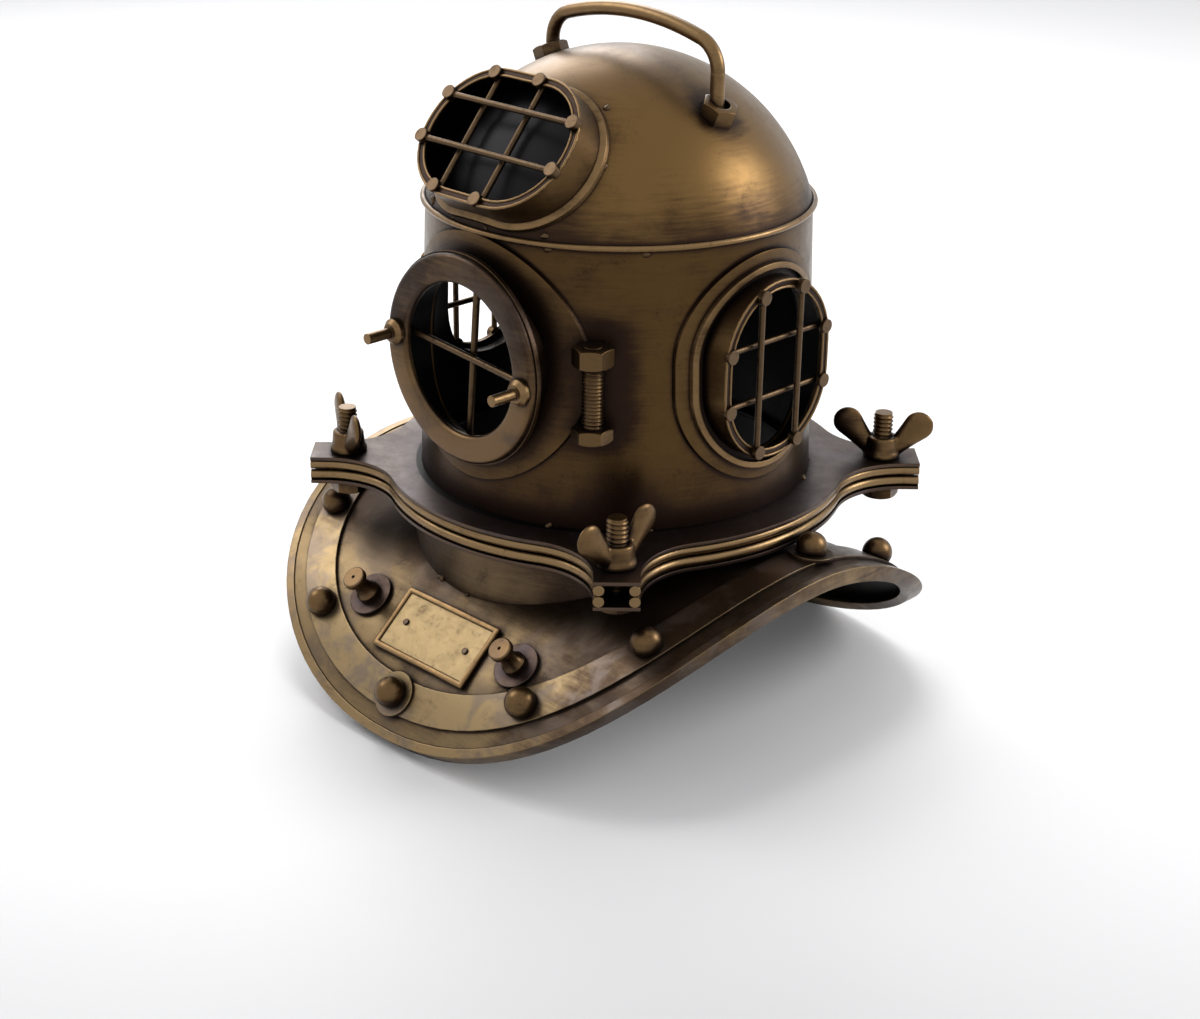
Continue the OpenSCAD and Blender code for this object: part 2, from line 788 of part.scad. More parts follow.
module neck_bore() {
    translate([0, -neck_shift, -OVER]) cylinder(h = flange_z, r = neck_r - sheet_t);
}

module breastplate() color(BRASS)
    above_floor() difference() {
        intersection() {
            arch_skin(-sheet_t, 0);
            apron(rim_w);
        }
        neck_bore();
    }

module breastplate_rim() color(PALE_BRASS)
    above_floor() difference() {
        intersection() {
            arch_skin(rim_proud - rim_h, rim_proud);
            apron(0);
        }
        apron(rim_w);
    }

module neck() color(DARK_BRONZE)
    difference() {
        translate([0, -neck_shift, 0]) cylinder(h = upper_plate_z, r = neck_r);
        neck_bore();
        arch();
    }

// The band is one ring that is cut into three strips
module band_ring() {
    difference() {
        intersection() {
            arch_skin(0, band_t);
            apron(band_inset);
        }
        apron(band_inset + band_w);
    }
}

band_joint_y = 4;

module front_band(side) color(PALE_BRASS)
    intersection() {
        band_ring();
        translate([side > 0 ? SEAT / 2 : -shoulder_half, band_joint_y - SEAT - 2 * front_reach, 0])
            cube([shoulder_half - SEAT / 2, 2 * front_reach, flange_z]);
    }

module left_front_band() front_band(-1);
module right_front_band() front_band(1);

module back_band() color(PALE_BRASS)
    intersection() {
        band_ring();
        translate([-shoulder_half, band_joint_y, 0])
            cube([2 * shoulder_half, front_reach, flange_z]);
    }

// ---------- rivets, pegs and plaque ----------

// Places on the band's middle line
mid_half = shoulder_half - band_inset - band_w / 2;
mid_front = front_reach - band_inset - band_w / 2;
mid_back = back_drop - band_inset - band_w / 2;
function front_spot(t) =
    [mid_half * sign(cos(t)) * pow(abs(cos(t)), 2 / front_square),
     front_y(mid_front * pow(sin(t), 2 / front_square))];
function back_spot(t) = [mid_half * cos(t), back_y(shoulder_z - mid_back * sin(t))];
joint_y = front_spot(90)[1];
joint_spots = [[0, joint_y], [-mid_half, band_joint_y], [mid_half, band_joint_y]];
front_rivet_turns = [27, 55.5];
back_rivet_turns = [12, 40, 66];
plain_spots = concat([for (t = front_rivet_turns, end = [0, 180]) front_spot(abs(end - t))],
                     [for (t = back_rivet_turns, end = [0, 180]) back_spot(abs(end - t))],
                     [back_spot(90)]);
washer_t = 0.8;

// Stands its children on the breastplate's top face, square to it
module on_breastplate(spot) {
    translate([spot[0], spot[1], arch_z(spot[1])])
        rotate([arch_slope(spot[1]), 0, 0]) children();
}

module rivet_washers() color(PALE_BRASS)
    for (spot = joint_spots) difference() {
        on_breastplate(spot) cylinder(h = band_t + washer_t, r = washer_r);
        arch(band_t);
    }

module band_rivets() color(BRASS) {
    for (spot = joint_spots) difference() {
        on_breastplate(spot) translate([0, 0, band_t + washer_t + rivet_r / 3]) sphere(r = rivet_r);
        on_breastplate(spot) translate([0, 0, -rivet_r])
            cylinder(h = rivet_r + band_t + washer_t, r = 2 * rivet_r);
    }
    for (spot = plain_spots) difference() {
        on_breastplate(spot) translate([0, 0, band_t + rivet_r / 3]) sphere(r = rivet_r);
        arch(band_t);
    }
}

plaque_y = joint_y + plaque_gap + (washer_r + plaque_l / 2) * cos(arch_slope(joint_y));
peg_y = plaque_y + peg_back;
peg_plate_t = 1.2;

module peg_plates() color(DARK_BRONZE)
    for (side = SIDES) difference() {
        on_breastplate([plaque_shift + side * peg_x, peg_y]) cylinder(h = peg_plate_t, r = peg_plate_r);
        arch();
    }

module pegs() color(WIRE)
    for (side = SIDES) on_breastplate([plaque_shift + side * peg_x, peg_y]) {
        translate([0, 0, peg_plate_t]) cylinder(h = peg_h - peg_plate_t, r = peg_r);
        translate([0, 0, peg_h - 1.5]) cylinder(h = 1.5, r = peg_head_r);
    }

plaque_t = 0.9;
frame_h = 1.5;

module plaque() color(PALE_BRASS)
    difference() {
        on_breastplate([plaque_shift, plaque_y]) translate([0, 0, plaque_t / 2])
            cube([plaque_w - 2 * frame_w, plaque_l - 2 * frame_w, plaque_t], center = true);
        arch();
    }

module plaque_frame() color(BRASS)
    difference() {
        on_breastplate([plaque_shift, plaque_y]) linear_extrude(frame_h) difference() {
            square([plaque_w, plaque_l], center = true);
            square([plaque_w - 2 * frame_w, plaque_l - 2 * frame_w], center = true);
        }
        arch();
    }

module plaque_pins() color(DARK_BRONZE)
    for (side = SIDES) on_breastplate([plaque_shift, plaque_y])
        translate([side * plaque_w * 0.33, 0, plaque_t]) cylinder(h = 0.5, r = 0.9);

barrel();
dome();
seam_bead();
top_window_tube();
top_window_wire();
top_window_grille();
front_saddle();
front_tube();
front_seat_ring();
front_ring();
front_studs();
front_cross_bars();
right_saddle();
right_foot_wire();
right_window_tube();
right_window_grille();
left_saddle();
left_foot_wire();
left_window_tube();
left_window_grille();
hinge_bolt();
hinge_nut();
handle();
handle_nuts();
upper_flange();
upper_edge_rods();
lower_flange();
lower_edge_rods();
flange_bolts();
neck();
breastplate();
breastplate_rim();
left_front_band();
right_front_band();
back_band();
rivet_washers();
band_rivets();
peg_plates();
pegs();
plaque();
plaque_frame();
plaque_pins();
wing_nut_front_right();
wing_nut_front_left();
wing_nut_back_right();
wing_nut_back_left();
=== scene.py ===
# %% [markdown]
# A diver's helmet in antique brass, made as an ornament for a pond or a tank. The solids come
# ready made from the packed model, and this lesson gives them their finish. Where the real piece
# has more to it than a plain solid, such as a thread, a cast wing nut or a blob of solder, it is
# made here. Everything is in metres, with +Z up and the front window facing -Y.

# %% Loading the solids
import math

import bpy
import bmesh
import random
from mathutils import Matrix, Vector


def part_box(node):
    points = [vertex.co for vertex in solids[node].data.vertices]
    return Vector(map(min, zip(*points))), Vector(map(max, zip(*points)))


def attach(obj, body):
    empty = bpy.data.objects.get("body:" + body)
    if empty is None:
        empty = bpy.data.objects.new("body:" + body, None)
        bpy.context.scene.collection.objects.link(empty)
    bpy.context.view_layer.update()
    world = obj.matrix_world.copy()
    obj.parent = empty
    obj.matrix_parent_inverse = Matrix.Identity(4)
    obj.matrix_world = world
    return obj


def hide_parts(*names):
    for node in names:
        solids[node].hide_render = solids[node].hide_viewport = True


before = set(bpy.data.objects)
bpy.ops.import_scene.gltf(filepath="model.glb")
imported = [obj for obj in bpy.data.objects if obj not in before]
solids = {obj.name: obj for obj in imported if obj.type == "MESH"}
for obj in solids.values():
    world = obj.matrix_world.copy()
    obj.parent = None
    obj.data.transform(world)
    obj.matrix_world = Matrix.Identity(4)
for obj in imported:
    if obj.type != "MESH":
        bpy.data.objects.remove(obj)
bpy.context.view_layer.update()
MM = 0.001


def circle(degrees):
    """The cosine and the sine of an angle."""
    turn = math.radians(degrees)
    return math.cos(turn), math.sin(turn)


def placed(name, data):
    thing = bpy.data.objects.new(name, data)
    bpy.context.scene.collection.objects.link(thing)
    return thing


# %% [markdown]
# The camera looks down a little at the helmet's left front corner, from about 65 cm away. Its
# place is worked out from two angles and a distance, like a boom on a tripod.

# %% Camera
TURN, RISE, ROLL = 44.79, 23.5, 0.68
AIM_HEIGHT, AIM_SIDE, BOOM = 44.32 * MM, -4.34 * MM, 650.5 * MM


def camera_axes(turn, rise, roll):
    """A level way right, and right, up and back of a camera, from angles in degrees."""
    (across, deep), (flat, high), (level, tip) = circle(turn), circle(rise), circle(roll)
    back = Vector((deep * flat, -across * flat, high))
    right = Vector((across, deep, 0))
    tilted = level * right + tip * back.cross(right)
    return right, tilted, back.cross(tilted), back


level, right, up, back = camera_axes(TURN, RISE, ROLL)
aim = Vector((0, 0, AIM_HEIGHT)) + level * AIM_SIDE
lens = bpy.data.cameras.new("camera")
lens.lens, lens.sensor_width, lens.clip_start = 64.09, 36, 0.01
camera = placed("camera", lens)
axes = Matrix((right, up, back)).transposed().to_4x4()
camera.matrix_world = Matrix.Translation(aim + back * BOOM) @ axes
bpy.context.scene.camera = camera
print("camera at", [round(c, 3) for c in camera.matrix_world.translation])

# %% [markdown]
# Sums over a surface read best as plain sums. The class below wraps one output of a node, and
# each operator adds the Math node that works it out. The second class adds any other node, in a
# material or in a Geometry Nodes tree.

# %% Sums in nodes
def operator(operation, swapped=False):
    """A sum of two terms, made with one Math node."""
    def work(value, other):
        terms = (other, value) if swapped else (value, other)
        return Nodes(value.tree).math(operation, *terms)
    return work


class Value:
    """A number that a node tree works out at each point."""

    __add__ = __radd__ = operator("ADD")
    __mul__ = __rmul__ = operator("MULTIPLY")
    __sub__, __rsub__ = operator("SUBTRACT"), operator("SUBTRACT", swapped=True)
    __truediv__, __pow__ = operator("DIVIDE"), operator("POWER")
    most, least = operator("MAXIMUM"), operator("MINIMUM")

    def __init__(self, tree, socket):
        self.tree, self.socket = tree, socket

    def size(self):
        return Nodes(self.tree).math("ABSOLUTE", self)

    def ramp(self, low, high):
        """0 at low and 1 at high, with a smooth rise between."""
        socket = Nodes(self.tree).out("ShaderNodeMapRange", "Result",
                                      {"Value": self, "From Min": low,
                                       "From Max": high}, interpolation_type="SMOOTHSTEP")
        return Value(self.tree, socket)

    def over(self, soft):
        """1 above zero and 0 below it, with a soft edge."""
        return self.ramp(-soft, soft)


class Nodes:
    """Adds nodes to one tree."""

    def __init__(self, tree):
        self.tree = tree

    def node(self, kind, sockets=None, **settings):
        node = self.tree.nodes.new(kind)
        for name, setting in settings.items():
            setattr(node, name, setting)
        for name, term in (sockets or {}).items():
            self.feed(node.inputs[name], term)
        return node

    def out(self, kind, output, sockets=None, **settings):
        """One output of a new node."""
        return self.node(kind, sockets, **settings).outputs[output]

    def feed(self, socket, term):
        if isinstance(term, Value):
            term = term.socket
        if isinstance(term, bpy.types.NodeSocket):
            self.tree.links.new(term, socket)
        else:
            socket.default_value = term

    def math(self, operation, *terms):
        return Value(self.tree, self.out("ShaderNodeMath", 0, dict(enumerate(terms)),
                                         operation=operation))

    def mix(self, share, first, second):
        """A colour that is first where share is 0 and second where it is 1."""
        node = self.tree.nodes.new("ShaderNodeMix")
        node.data_type = "RGBA"
        for socket, term in ((0, share), (6, first), (7, second)):
            self.feed(node.inputs[socket], rgba(term))
        return node.outputs[2]

    def place(self):
        return self.out("ShaderNodeTexCoord", "Object")

    def axes(self, vector):
        parts = self.node("ShaderNodeSeparateXYZ", {"Vector": vector}).outputs
        return [Value(self.tree, part) for part in parts]

    def stretched(self, vector, scale, shift=(0, 0, 0), turn=(0, 0, 0)):
        """The vector turned, scaled and moved, to draw a pattern out along an axis."""
        return self.out("ShaderNodeMapping", "Vector",
                        {"Vector": vector, "Scale": scale, "Location": shift, "Rotation": turn})

    def noise(self, vector, size, detail=3.0, rough=0.55, warp=0.0):
        """Cloudy noise from 0 to 1 whose blotches are about size metres across."""
        socket = self.out("ShaderNodeTexNoise", "Fac",
                          {"Vector": vector, "Scale": 1 / size, "Detail": detail,
                           "Roughness": rough, "Distortion": warp})
        return Value(self.tree, socket)


def rgba(term):
    return (*term, 1) if isinstance(term, tuple) and len(term) == 3 else term


def new_material(name):
    material = bpy.data.materials.new(name)
    material.use_nodes = True
    material.node_tree.nodes.clear()
    return material, Nodes(material.node_tree)


print("sums ready:", ", ".join(name for name in vars(Value) if not name.startswith("_")))

# %% [markdown]
# Antique brass is bright brass that was blackened, rubbed back where a cloth reaches and then
# lacquered. One brown paint would look like plastic. So one recipe mixes finishes by the place on
# the piece: a rubbed gold on open faces and edges, a wide brown halo round every fitting, where
# the cloth couldn't reach, black in the corners, and greyish patches that are partly cloudy
# lacquer and partly painted sheen.

# %% The antique finish
HALO, CORNER, EDGE = 24 * MM, 5 * MM, 0.45 * MM


def hidden(shader, reach, low, high):
    """1 where neighbours closer than reach hide a point and 0 on an open face."""
    open_share = shader.out("ShaderNodeAmbientOcclusion", "AO", {"Distance": reach}, samples=8)
    return (1 - Value(shader.tree, open_share)).ramp(low, high)


def rounded(shader, radius=EDGE):
    return shader.out("ShaderNodeBevel", "Normal", {"Radius": radius}, samples=6)


def edges(shader, soft_normal):
    """1 on a sharp edge and 0 on a flat face."""
    true_normal = shader.out("ShaderNodeNewGeometry", "Normal")
    alike = shader.out("ShaderNodeVectorMath", "Value",
                       {0: soft_normal, 1: true_normal}, operation="DOT_PRODUCT")
    return (1 - Value(shader.tree, alike)).ramp(0.01, 0.16)


def brass(name, rubbed, brown, dark, bloom_and_sheen=None, rough=0.36, patch=34 * MM, spots=0.35, halo=1.1,
          wear=0.6, tone_and_shade=None, paint=None):
    """Antique brass. tone_and_shade gives how much browner a place is than the halo alone makes it,
    which is the metal's own tone in some places and painted shade in others, and paint gives a
    black paint's share, colour and roughness there."""
    material, shader = new_material(name)
    place = shader.place()
    soft = rounded(shader)
    cloud = shader.noise(shader.stretched(place, (1, 1, 1.3), (0.31, 0.17, 0.05)), patch, 3, 0.5,
                         0.3)
    stain = shader.noise(shader.stretched(place, (1, 1, 1), (0.7, 0.2, 0.9)), patch / 4, 5, 0.65,
                         0.3)
    speckle = shader.noise(place, 1.0 * MM, 2, 0.6)
    brushed = shader.noise(shader.stretched(place, (1, 1, 12)), 11 * MM, 4, 0.6)
    away = hidden(shader, HALO, 0.03, 0.42)
    corner = hidden(shader, CORNER, 0.15, 0.75)
    edge = edges(shader, soft)
    shade = away * halo + (cloud - 0.5) * 1.1 + (stain - 0.5) * spots * 1.6 + (brushed - 0.5) * 0.6
    # Browner tone by place; on the breastplate pieces and the window lips it is painted shade.
    if tone_and_shade:
        shade = shade + tone_and_shade(shader, shader.axes(place))
    colour = shader.mix(shade.ramp(0.0, 0.75), rubbed, brown)
    colour = shader.mix((stain * 0.6 + speckle * 0.4).ramp(0.55, 0.70) * spots, colour, dark)
    # Greyish patches, partly cloudy lacquer and partly painted sheen.
    if bloom_and_sheen:
        haze = shader.noise(shader.stretched(place, (1, 1, 1), (0.1, 0.9, 0.4)), patch * 0.6, 4,
                            0.6, 0.4)
        colour = shader.mix(haze.ramp(0.46, 0.64) * 0.65, colour, bloom_and_sheen)
    colour = shader.mix((corner * (0.75 + speckle * 0.5)).least(1) * 0.93, colour, dark)
    colour = shader.mix((edge * (0.3 + speckle)).least(1) * (1 - corner) * wear, colour, rubbed)
    gloss = rough + (speckle - 0.5) * 0.10 + (stain - 0.5) * 0.25 + shade * 0.06 + corner * 0.2
    height = speckle * 0.35 + stain * 0.9 + brushed * 0.5
    if paint:
        share, black, gloss_black = paint(shader, shader.axes(place))
        colour = shader.mix(share, colour, black)
        gloss = gloss * (1 - share) + share * gloss_black
    grain = shader.out("ShaderNodeBump", "Normal",
                       {"Strength": 0.4, "Distance": 0.07 * MM, "Height": height, "Normal": soft})
    surface = shader.out("ShaderNodeBsdfPrincipled", "BSDF",
                         {"Base Color": colour, "Metallic": 1.0, "Roughness": gloss,
                          "Coat Weight": 0.06, "Coat Roughness": 0.3, "Normal": grain})
    shader.node("ShaderNodeOutputMaterial", {"Surface": surface})
    return material


def finish(names, material):
    for name in names:
        for slot in solids[name].material_slots:
            slot.link = "OBJECT"
            slot.material = material
    print(material.name, "on", len(names), "solids")


print("halo, corner and edge in mm:", [round(width / MM, 2) for width in (HALO, CORNER, EDGE)])

# %% [markdown]
# The hollow inside of the barrel and the dome is painted black, and so is the dome where it shows
# through the top window. The paint is one material with the brass outside it: the place of a point
# says on which side of the sheet it lies. Each function gives the paint's share, its colour and
# its roughness there.

# %% Black paint inside
DOME_TOP, DOME_R, SEAM_Z = 185 * MM, 57.54 * MM, 143 * MM
DOME_Z = DOME_TOP - DOME_R
FLANGE_Z, BARREL_FOOT, BARREL_TOP = 63 * MM, 58 * MM, 55.4 * MM
BARREL_SLOPE = (BARREL_TOP - BARREL_FOOT) / (SEAM_Z - FLANGE_Z)
TOP_C, TOP_S = circle(40)
TOP_R, TOP_STRAIGHT = 20 * MM, 8 * MM
SIDE_Z, SIDE_STRAIGHT, FRONT_Z = 106 * MM, 4 * MM, 107.5 * MM
SKIN, NECK_SHIFT = 0.5 * MM, 3 * MM
HANDLE_X, HANDLE_HALF = 4.5 * MM, 31.9 * MM
NECK_BORE, SIDE_BORE, FRONT_BORE = 57.4 * MM, 20.7 * MM, 24.4 * MM
SOOT = (0.0055, 0.0045, 0.0045)


def barrel_radius(z):
    return (z - FLANGE_Z) * BARREL_SLOPE + BARREL_FOOT


def reach(across, along):
    """The distance from an axis, from two places square to it."""
    return (across * across + along * along) ** 0.5


def inside_barrel(shader, axes):
    x, y, z = axes
    return (barrel_radius(z) - SKIN - reach(x, y)).over(0.05 * MM), SOOT, 0.6


def inside_neck(shader, axes):
    """The neck's inner wall and the inner edges of the flange plates."""
    x, y, z = axes
    return (NECK_BORE - reach(x, y + NECK_SHIFT)).over(0.3 * MM), SOOT, 0.6


def underneath(shader, axes):
    """The breastplate's inner skin, whose faces look down or towards the helmet's axis."""
    across, deep, up = shader.axes(shader.out("ShaderNodeNewGeometry", "Normal"))
    x, y, z = axes
    outside = (across * x + deep * y) / reach(x, y) + up
    return (outside * -1).ramp(0.05, 0.20), (0.010, 0.0085, 0.009), 0.45


def window_axes(axes):
    """Places across, up and out of the top window, with the dome's height over its centre."""
    x, y, z = axes
    height = z - DOME_Z
    return x, height * TOP_C + y * TOP_S, height * TOP_S - y * TOP_C, height


def oval_reach(along, across, straight):
    return reach((along.size() - straight).most(0), across)


def inside_dome(shader, axes):
    """The dome's inner face, and its outer face under the top window."""
    along, rise, out, height = window_axes(axes)
    from_centre = (axes[0] * axes[0] + axes[1] * axes[1] + height * height) ** 0.5
    under = (DOME_R - SKIN - from_centre).over(0.05 * MM)
    window = (TOP_R - 0.6 * MM - oval_reach(along, rise, TOP_STRAIGHT)).over(0.3 * MM)
    window = window * out.ramp(0, 1 * MM)
    return under.most(window), (0.012, 0.011, 0.012), 0.6 - window * 0.10


def inside_top_tube(shader, axes):
    along, rise, out, height = window_axes(axes)
    wall = (TOP_R - 0.8 * MM - oval_reach(along, rise, TOP_STRAIGHT)).over(0.1 * MM)
    return wall * (60.2 * MM - out).ramp(0, 0.2 * MM), SOOT, 0.5


def inside_side_tube(shader, axes):
    oval = oval_reach(axes[2] - SIDE_Z, axes[1], SIDE_STRAIGHT)
    wall = (SIDE_BORE - oval).over(0.1 * MM)
    return wall * (60.6 * MM - axes[0].size()).ramp(0, 0.2 * MM), SOOT, 0.5


def inside_front_tube(shader, axes):
    from_axis = reach(axes[0], axes[2] - FRONT_Z)
    return (FRONT_BORE - from_axis).over(0.1 * MM), SOOT, 0.5


# Browner low on the dome and round the handle's feet; painted shade on the right of the
# breastplate.
def dull_low_dome(shader, axes):
    """Brown low on the dome, and round the handle's two feet."""
    away = reach(((axes[0] - HANDLE_X).size() - HANDLE_HALF).size(), axes[1])
    at_handle = (1 - away.ramp(5 * MM, 13 * MM)) * 0.45
    return 0.50 - axes[2].ramp(SEAM_Z, SEAM_Z + 26 * MM) * 0.6 + at_handle


def painted_shade_right(shader, axes):
    """Painted shade, darker towards the right and less so at the edge."""
    return axes[0].ramp(26 * MM, 70 * MM) * 0.7 - axes[0].ramp(80 * MM, 90 * MM) * 0.4


def dull_round_bolt(shader, axes):
    """A dark patch round the hinge bolt."""
    low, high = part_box("hinge_bolt")
    x, y, z = (axis - (a + b) / 2 for axis, a, b in zip(axes, low, high))
    return (1 - reach(x, y).ramp(8 * MM, 18 * MM)) * (1 - z.size().ramp(13 * MM, 24 * MM)) * 0.6


def dull_high_ring(shader, axes):
    """The upper half of the front ring is browner than the lower."""
    return axes[2].ramp(90 * MM, 124 * MM) * 0.65 - 0.10


def painted_groove_shade(shader, axes):
    """Painted shade of a groove: a side window's flat lip is dark between its two edges."""
    return axes[0].size().ramp(61.6 * MM, 61.75 * MM) * 0.9


# Painted shade of a groove on the top window's lip, between its two edges.
def painted_top_groove_shade(shader, axes):
    return window_axes(axes)[2].ramp(61.1 * MM, 61.25 * MM) * 0.9


GOLD, BROWN, BLACK = (0.140, 0.080, 0.028), (0.024, 0.0125, 0.0075), (0.006, 0.004, 0.0038)
TUBE = ((0.105, 0.060, 0.022), BROWN, BLACK)
WORN = ((0.060, 0.037, 0.023), (0.012, 0.009, 0.008))
finish(["front_saddle", "right_saddle", "left_saddle"], brass("sheet_brass", *TUBE))
finish(["right_window_tube", "left_window_tube"],
       brass("side_tube_brass", *TUBE, tone_and_shade=painted_groove_shade, paint=inside_side_tube))
finish(["top_window_tube"],
       brass("top_tube_brass", *TUBE, tone_and_shade=painted_top_groove_shade, paint=inside_top_tube))
finish(["front_tube"], brass("front_tube_brass", *TUBE, paint=inside_front_tube))
finish(["barrel"], brass("barrel_brass", (0.090, 0.050, 0.0165), (0.022, 0.011, 0.007), BLACK,
                         halo=1.6, tone_and_shade=dull_round_bolt, paint=inside_barrel))
finish(["dome"], brass("dome_brass", GOLD, BROWN, BLACK, spots=0.2, tone_and_shade=dull_low_dome,
                       paint=inside_dome))
plate_brass = brass("plate_brass", (0.185, 0.127, 0.064), (0.036, 0.022, 0.014),
                    (0.008, 0.006, 0.005), bloom_and_sheen=(0.094, 0.069, 0.052), rough=0.38, halo=0.85,
                    tone_and_shade=painted_shade_right, paint=underneath)
pale_brass = brass("pale_brass", (0.265, 0.187, 0.095), *WORN, bloom_and_sheen=(0.135, 0.106, 0.092),
                   rough=0.35, patch=20 * MM, halo=0.4, wear=0.8, tone_and_shade=painted_shade_right)
finish(["rivet_washers"], pale_brass)
finish(["plaque"], brass("plaque_brass", (0.225, 0.160, 0.080), (0.095, 0.062, 0.031),
                         (0.015, 0.011, 0.009), rough=0.37, patch=12 * MM, halo=0.35, wear=0.8))
finish(["upper_flange", "lower_flange", "peg_plates", "plaque_pins"],
       brass("dark_bronze", (0.088, 0.058, 0.040), (0.034, 0.021, 0.018), (0.006, 0.005, 0.0045),
             bloom_and_sheen=(0.062, 0.048, 0.050), rough=0.38, patch=24 * MM, paint=inside_neck))
rim_brass = brass("rim_brass", (0.235, 0.160, 0.080), *WORN, bloom_and_sheen=(0.120, 0.094, 0.080),
                  rough=0.35, patch=24 * MM, halo=0.1, wear=0.9, tone_and_shade=painted_shade_right)
finish(["neck"], brass("neck_brass", (0.140, 0.092, 0.048), (0.034, 0.021, 0.015),
                       (0.006, 0.005, 0.0045), rough=0.38, halo=0.7, paint=inside_neck))
wire_brass = brass("wire_brass", (0.190, 0.117, 0.053), (0.052, 0.030, 0.016),
                   (0.009, 0.006, 0.005), rough=0.33, patch=14 * MM, halo=0.4, wear=0.7)
finish(["seam_bead", "top_window_wire", "front_studs", "right_foot_wire", "left_foot_wire",
        "handle"], wire_brass)
finish(["upper_edge_rods", "lower_edge_rods"],
       brass("rod_brass", (0.215, 0.138, 0.066), (0.065, 0.038, 0.020), (0.010, 0.007, 0.005),
             rough=0.31, patch=20 * MM, halo=0.15, wear=0.7))
ring_brass = brass("ring_brass", (0.130, 0.078, 0.036), (0.026, 0.015, 0.010),
                   (0.008, 0.006, 0.005), bloom_and_sheen=(0.060, 0.042, 0.032), rough=0.35, patch=30 * MM,
                   halo=0.8, wear=0.9, tone_and_shade=dull_high_ring)
finish(["front_seat_ring"], ring_brass)
bar_brass = brass("bar_brass", (0.092, 0.057, 0.029), (0.030, 0.018, 0.011),
                  (0.007, 0.005, 0.004), rough=0.36, patch=8 * MM, spots=0.6, halo=0.3, wear=0.8)
finish(["top_window_grille", "right_window_grille", "left_window_grille", "front_cross_bars"],
       bar_brass)
nut_brass = brass("nut_brass", (0.125, 0.074, 0.032), (0.028, 0.016, 0.010),
                  (0.007, 0.005, 0.004), rough=0.34, patch=10 * MM, halo=0.6, wear=0.8)

# %% [markdown]
# The pieces below are made here and stand for plain solids of the packed model. Each one becomes
# a plain mesh with its place in its mesh, so its pattern stays put, and it rides on the body that
# carries the solid.

# %% From a mesh to a piece
def smooth(mesh, angle=38):
    """Merges loose corners, turns the faces outwards and keeps edges sharper than angle."""
    shape = bmesh.new()
    shape.from_mesh(mesh)
    bmesh.ops.remove_doubles(shape, verts=shape.verts, dist=0.002 * MM)
    bmesh.ops.recalc_face_normals(shape, faces=shape.faces)
    shape.to_mesh(mesh)
    shape.free()
    mesh.shade_smooth()
    mesh.set_sharp_from_angle(angle=math.radians(angle))


def piece(name, mesh, body, material, stands_for=(), angle=38):
    """Hands a mesh, or a list of meshes joined as one, to its body."""
    if isinstance(mesh, list):
        mesh = joined(name, mesh)
    smooth(mesh, angle)
    mesh.materials.clear()
    mesh.materials.append(material)
    thing = placed(name, mesh)
    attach(thing, body)
    if stands_for:
        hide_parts(*stands_for)
    print(name, "-", len(mesh.polygons), "faces")
    return thing


def mesh_of(name, shape):
    mesh = bpy.data.meshes.new(name)
    shape.to_mesh(mesh)
    shape.free()
    return mesh


def turned_rows(shape, profile, steps, spot):
    """Rings of vertices for a profile. spot puts a cosine, a sine and a profile's pair in space."""
    turns = [2 * math.pi * k / steps for k in range(steps)]
    return [[shape.verts.new(spot(math.cos(t), math.sin(t), r, h)) for t in turns]
            for r, h in profile]


def skinned(shape, rows, closed=True):
    """Faces from each ring of vertices to the next, and from the last to the first."""
    for low, high in zip(rows, rows[1:] + rows[:1] if closed else rows[1:]):
        for k in range(len(low)):
            n = (k + 1) % len(low)
            shape.faces.new((low[k], low[n], high[n], high[k]))


def upright(c, s, r, z):
    return r * c, r * s, z


def settled(thing):
    """The mesh that a thing's modifiers make. The thing itself is removed."""
    seen = bpy.context.evaluated_depsgraph_get()
    mesh = bpy.data.meshes.new_from_object(thing.evaluated_get(seen))
    thing.modifiers.clear()
    bpy.data.objects.remove(thing)
    return mesh


def joined(name, meshes):
    shape = bmesh.new()
    for mesh in meshes:
        shape.from_mesh(mesh)
    return mesh_of(name, shape)


def moved(mesh, place=(0, 0, 0), turn=0.0, facing=(0, 0, 1)):
    """The mesh turned round Z, laid along facing and moved to a place."""
    lay = Matrix.Identity(4)
    if tuple(facing) != (0, 0, 1):
        lay = Vector(facing).to_track_quat("Z", "Y").to_matrix().to_4x4()
    copy = mesh.copy()
    copy.transform(Matrix.Translation(place) @ lay @ Matrix.Rotation(turn, 4, "Z"))
    return copy


# %% [markdown]
# The breastplate and its bands are bent from sheet over two arches that meet at the shoulders, so
# light runs along them without a break. The packed solids have long flat facets there. A copy of
# each keeps the solid's exact shape, and each corner of a face is told which way the arch itself
# faces at that place.

# %% Smooth sheets
RIDGE_Y, RIDGE_Z, FRONT_ARCH, BACK_ARCH = -6.2 * MM, 52.2 * MM, 102.5 * MM, 80 * MM


def arch_r(y):
    return FRONT_ARCH if y < RIDGE_Y else BACK_ARCH


def arch_facing(y):
    lean = (RIDGE_Y - y) / arch_r(y)
    return Vector((0, -lean, math.sqrt(1 - lean * lean)))


def bend_shading(mesh):
    """Gives the faces that lie along the arch the arch's own facing at each corner."""
    facings = []
    for face in mesh.polygons:
        for loop in face.loop_indices:
            facing = arch_facing(mesh.vertices[mesh.loops[loop].vertex_index].co.y)
            along = face.normal.dot(facing)
            facings.append(facing * math.copysign(1, along) if abs(along) > 0.93
                           else mesh.corner_normals[loop].vector.copy())
    mesh.normals_split_custom_set(facings)


for name, material in (("breastplate", plate_brass),
                       ("left_front_band", pale_brass), ("right_front_band", pale_brass),
                       ("back_band", pale_brass)):
    sheet = piece(name + "_smooth", solids[name].data.copy(), "corselet", material,
                  [name], 32)
    bend_shading(sheet.data)

# %% [markdown]
# The plaque's frame and the breastplate's rim have lost their sharp corners. Each is a copy of the
# packed solid with its corners rounded over. A peg is turned on a lathe, with a flared foot, a flat
# head and a centre hole, so it is one profile swept round the peg's own axis.

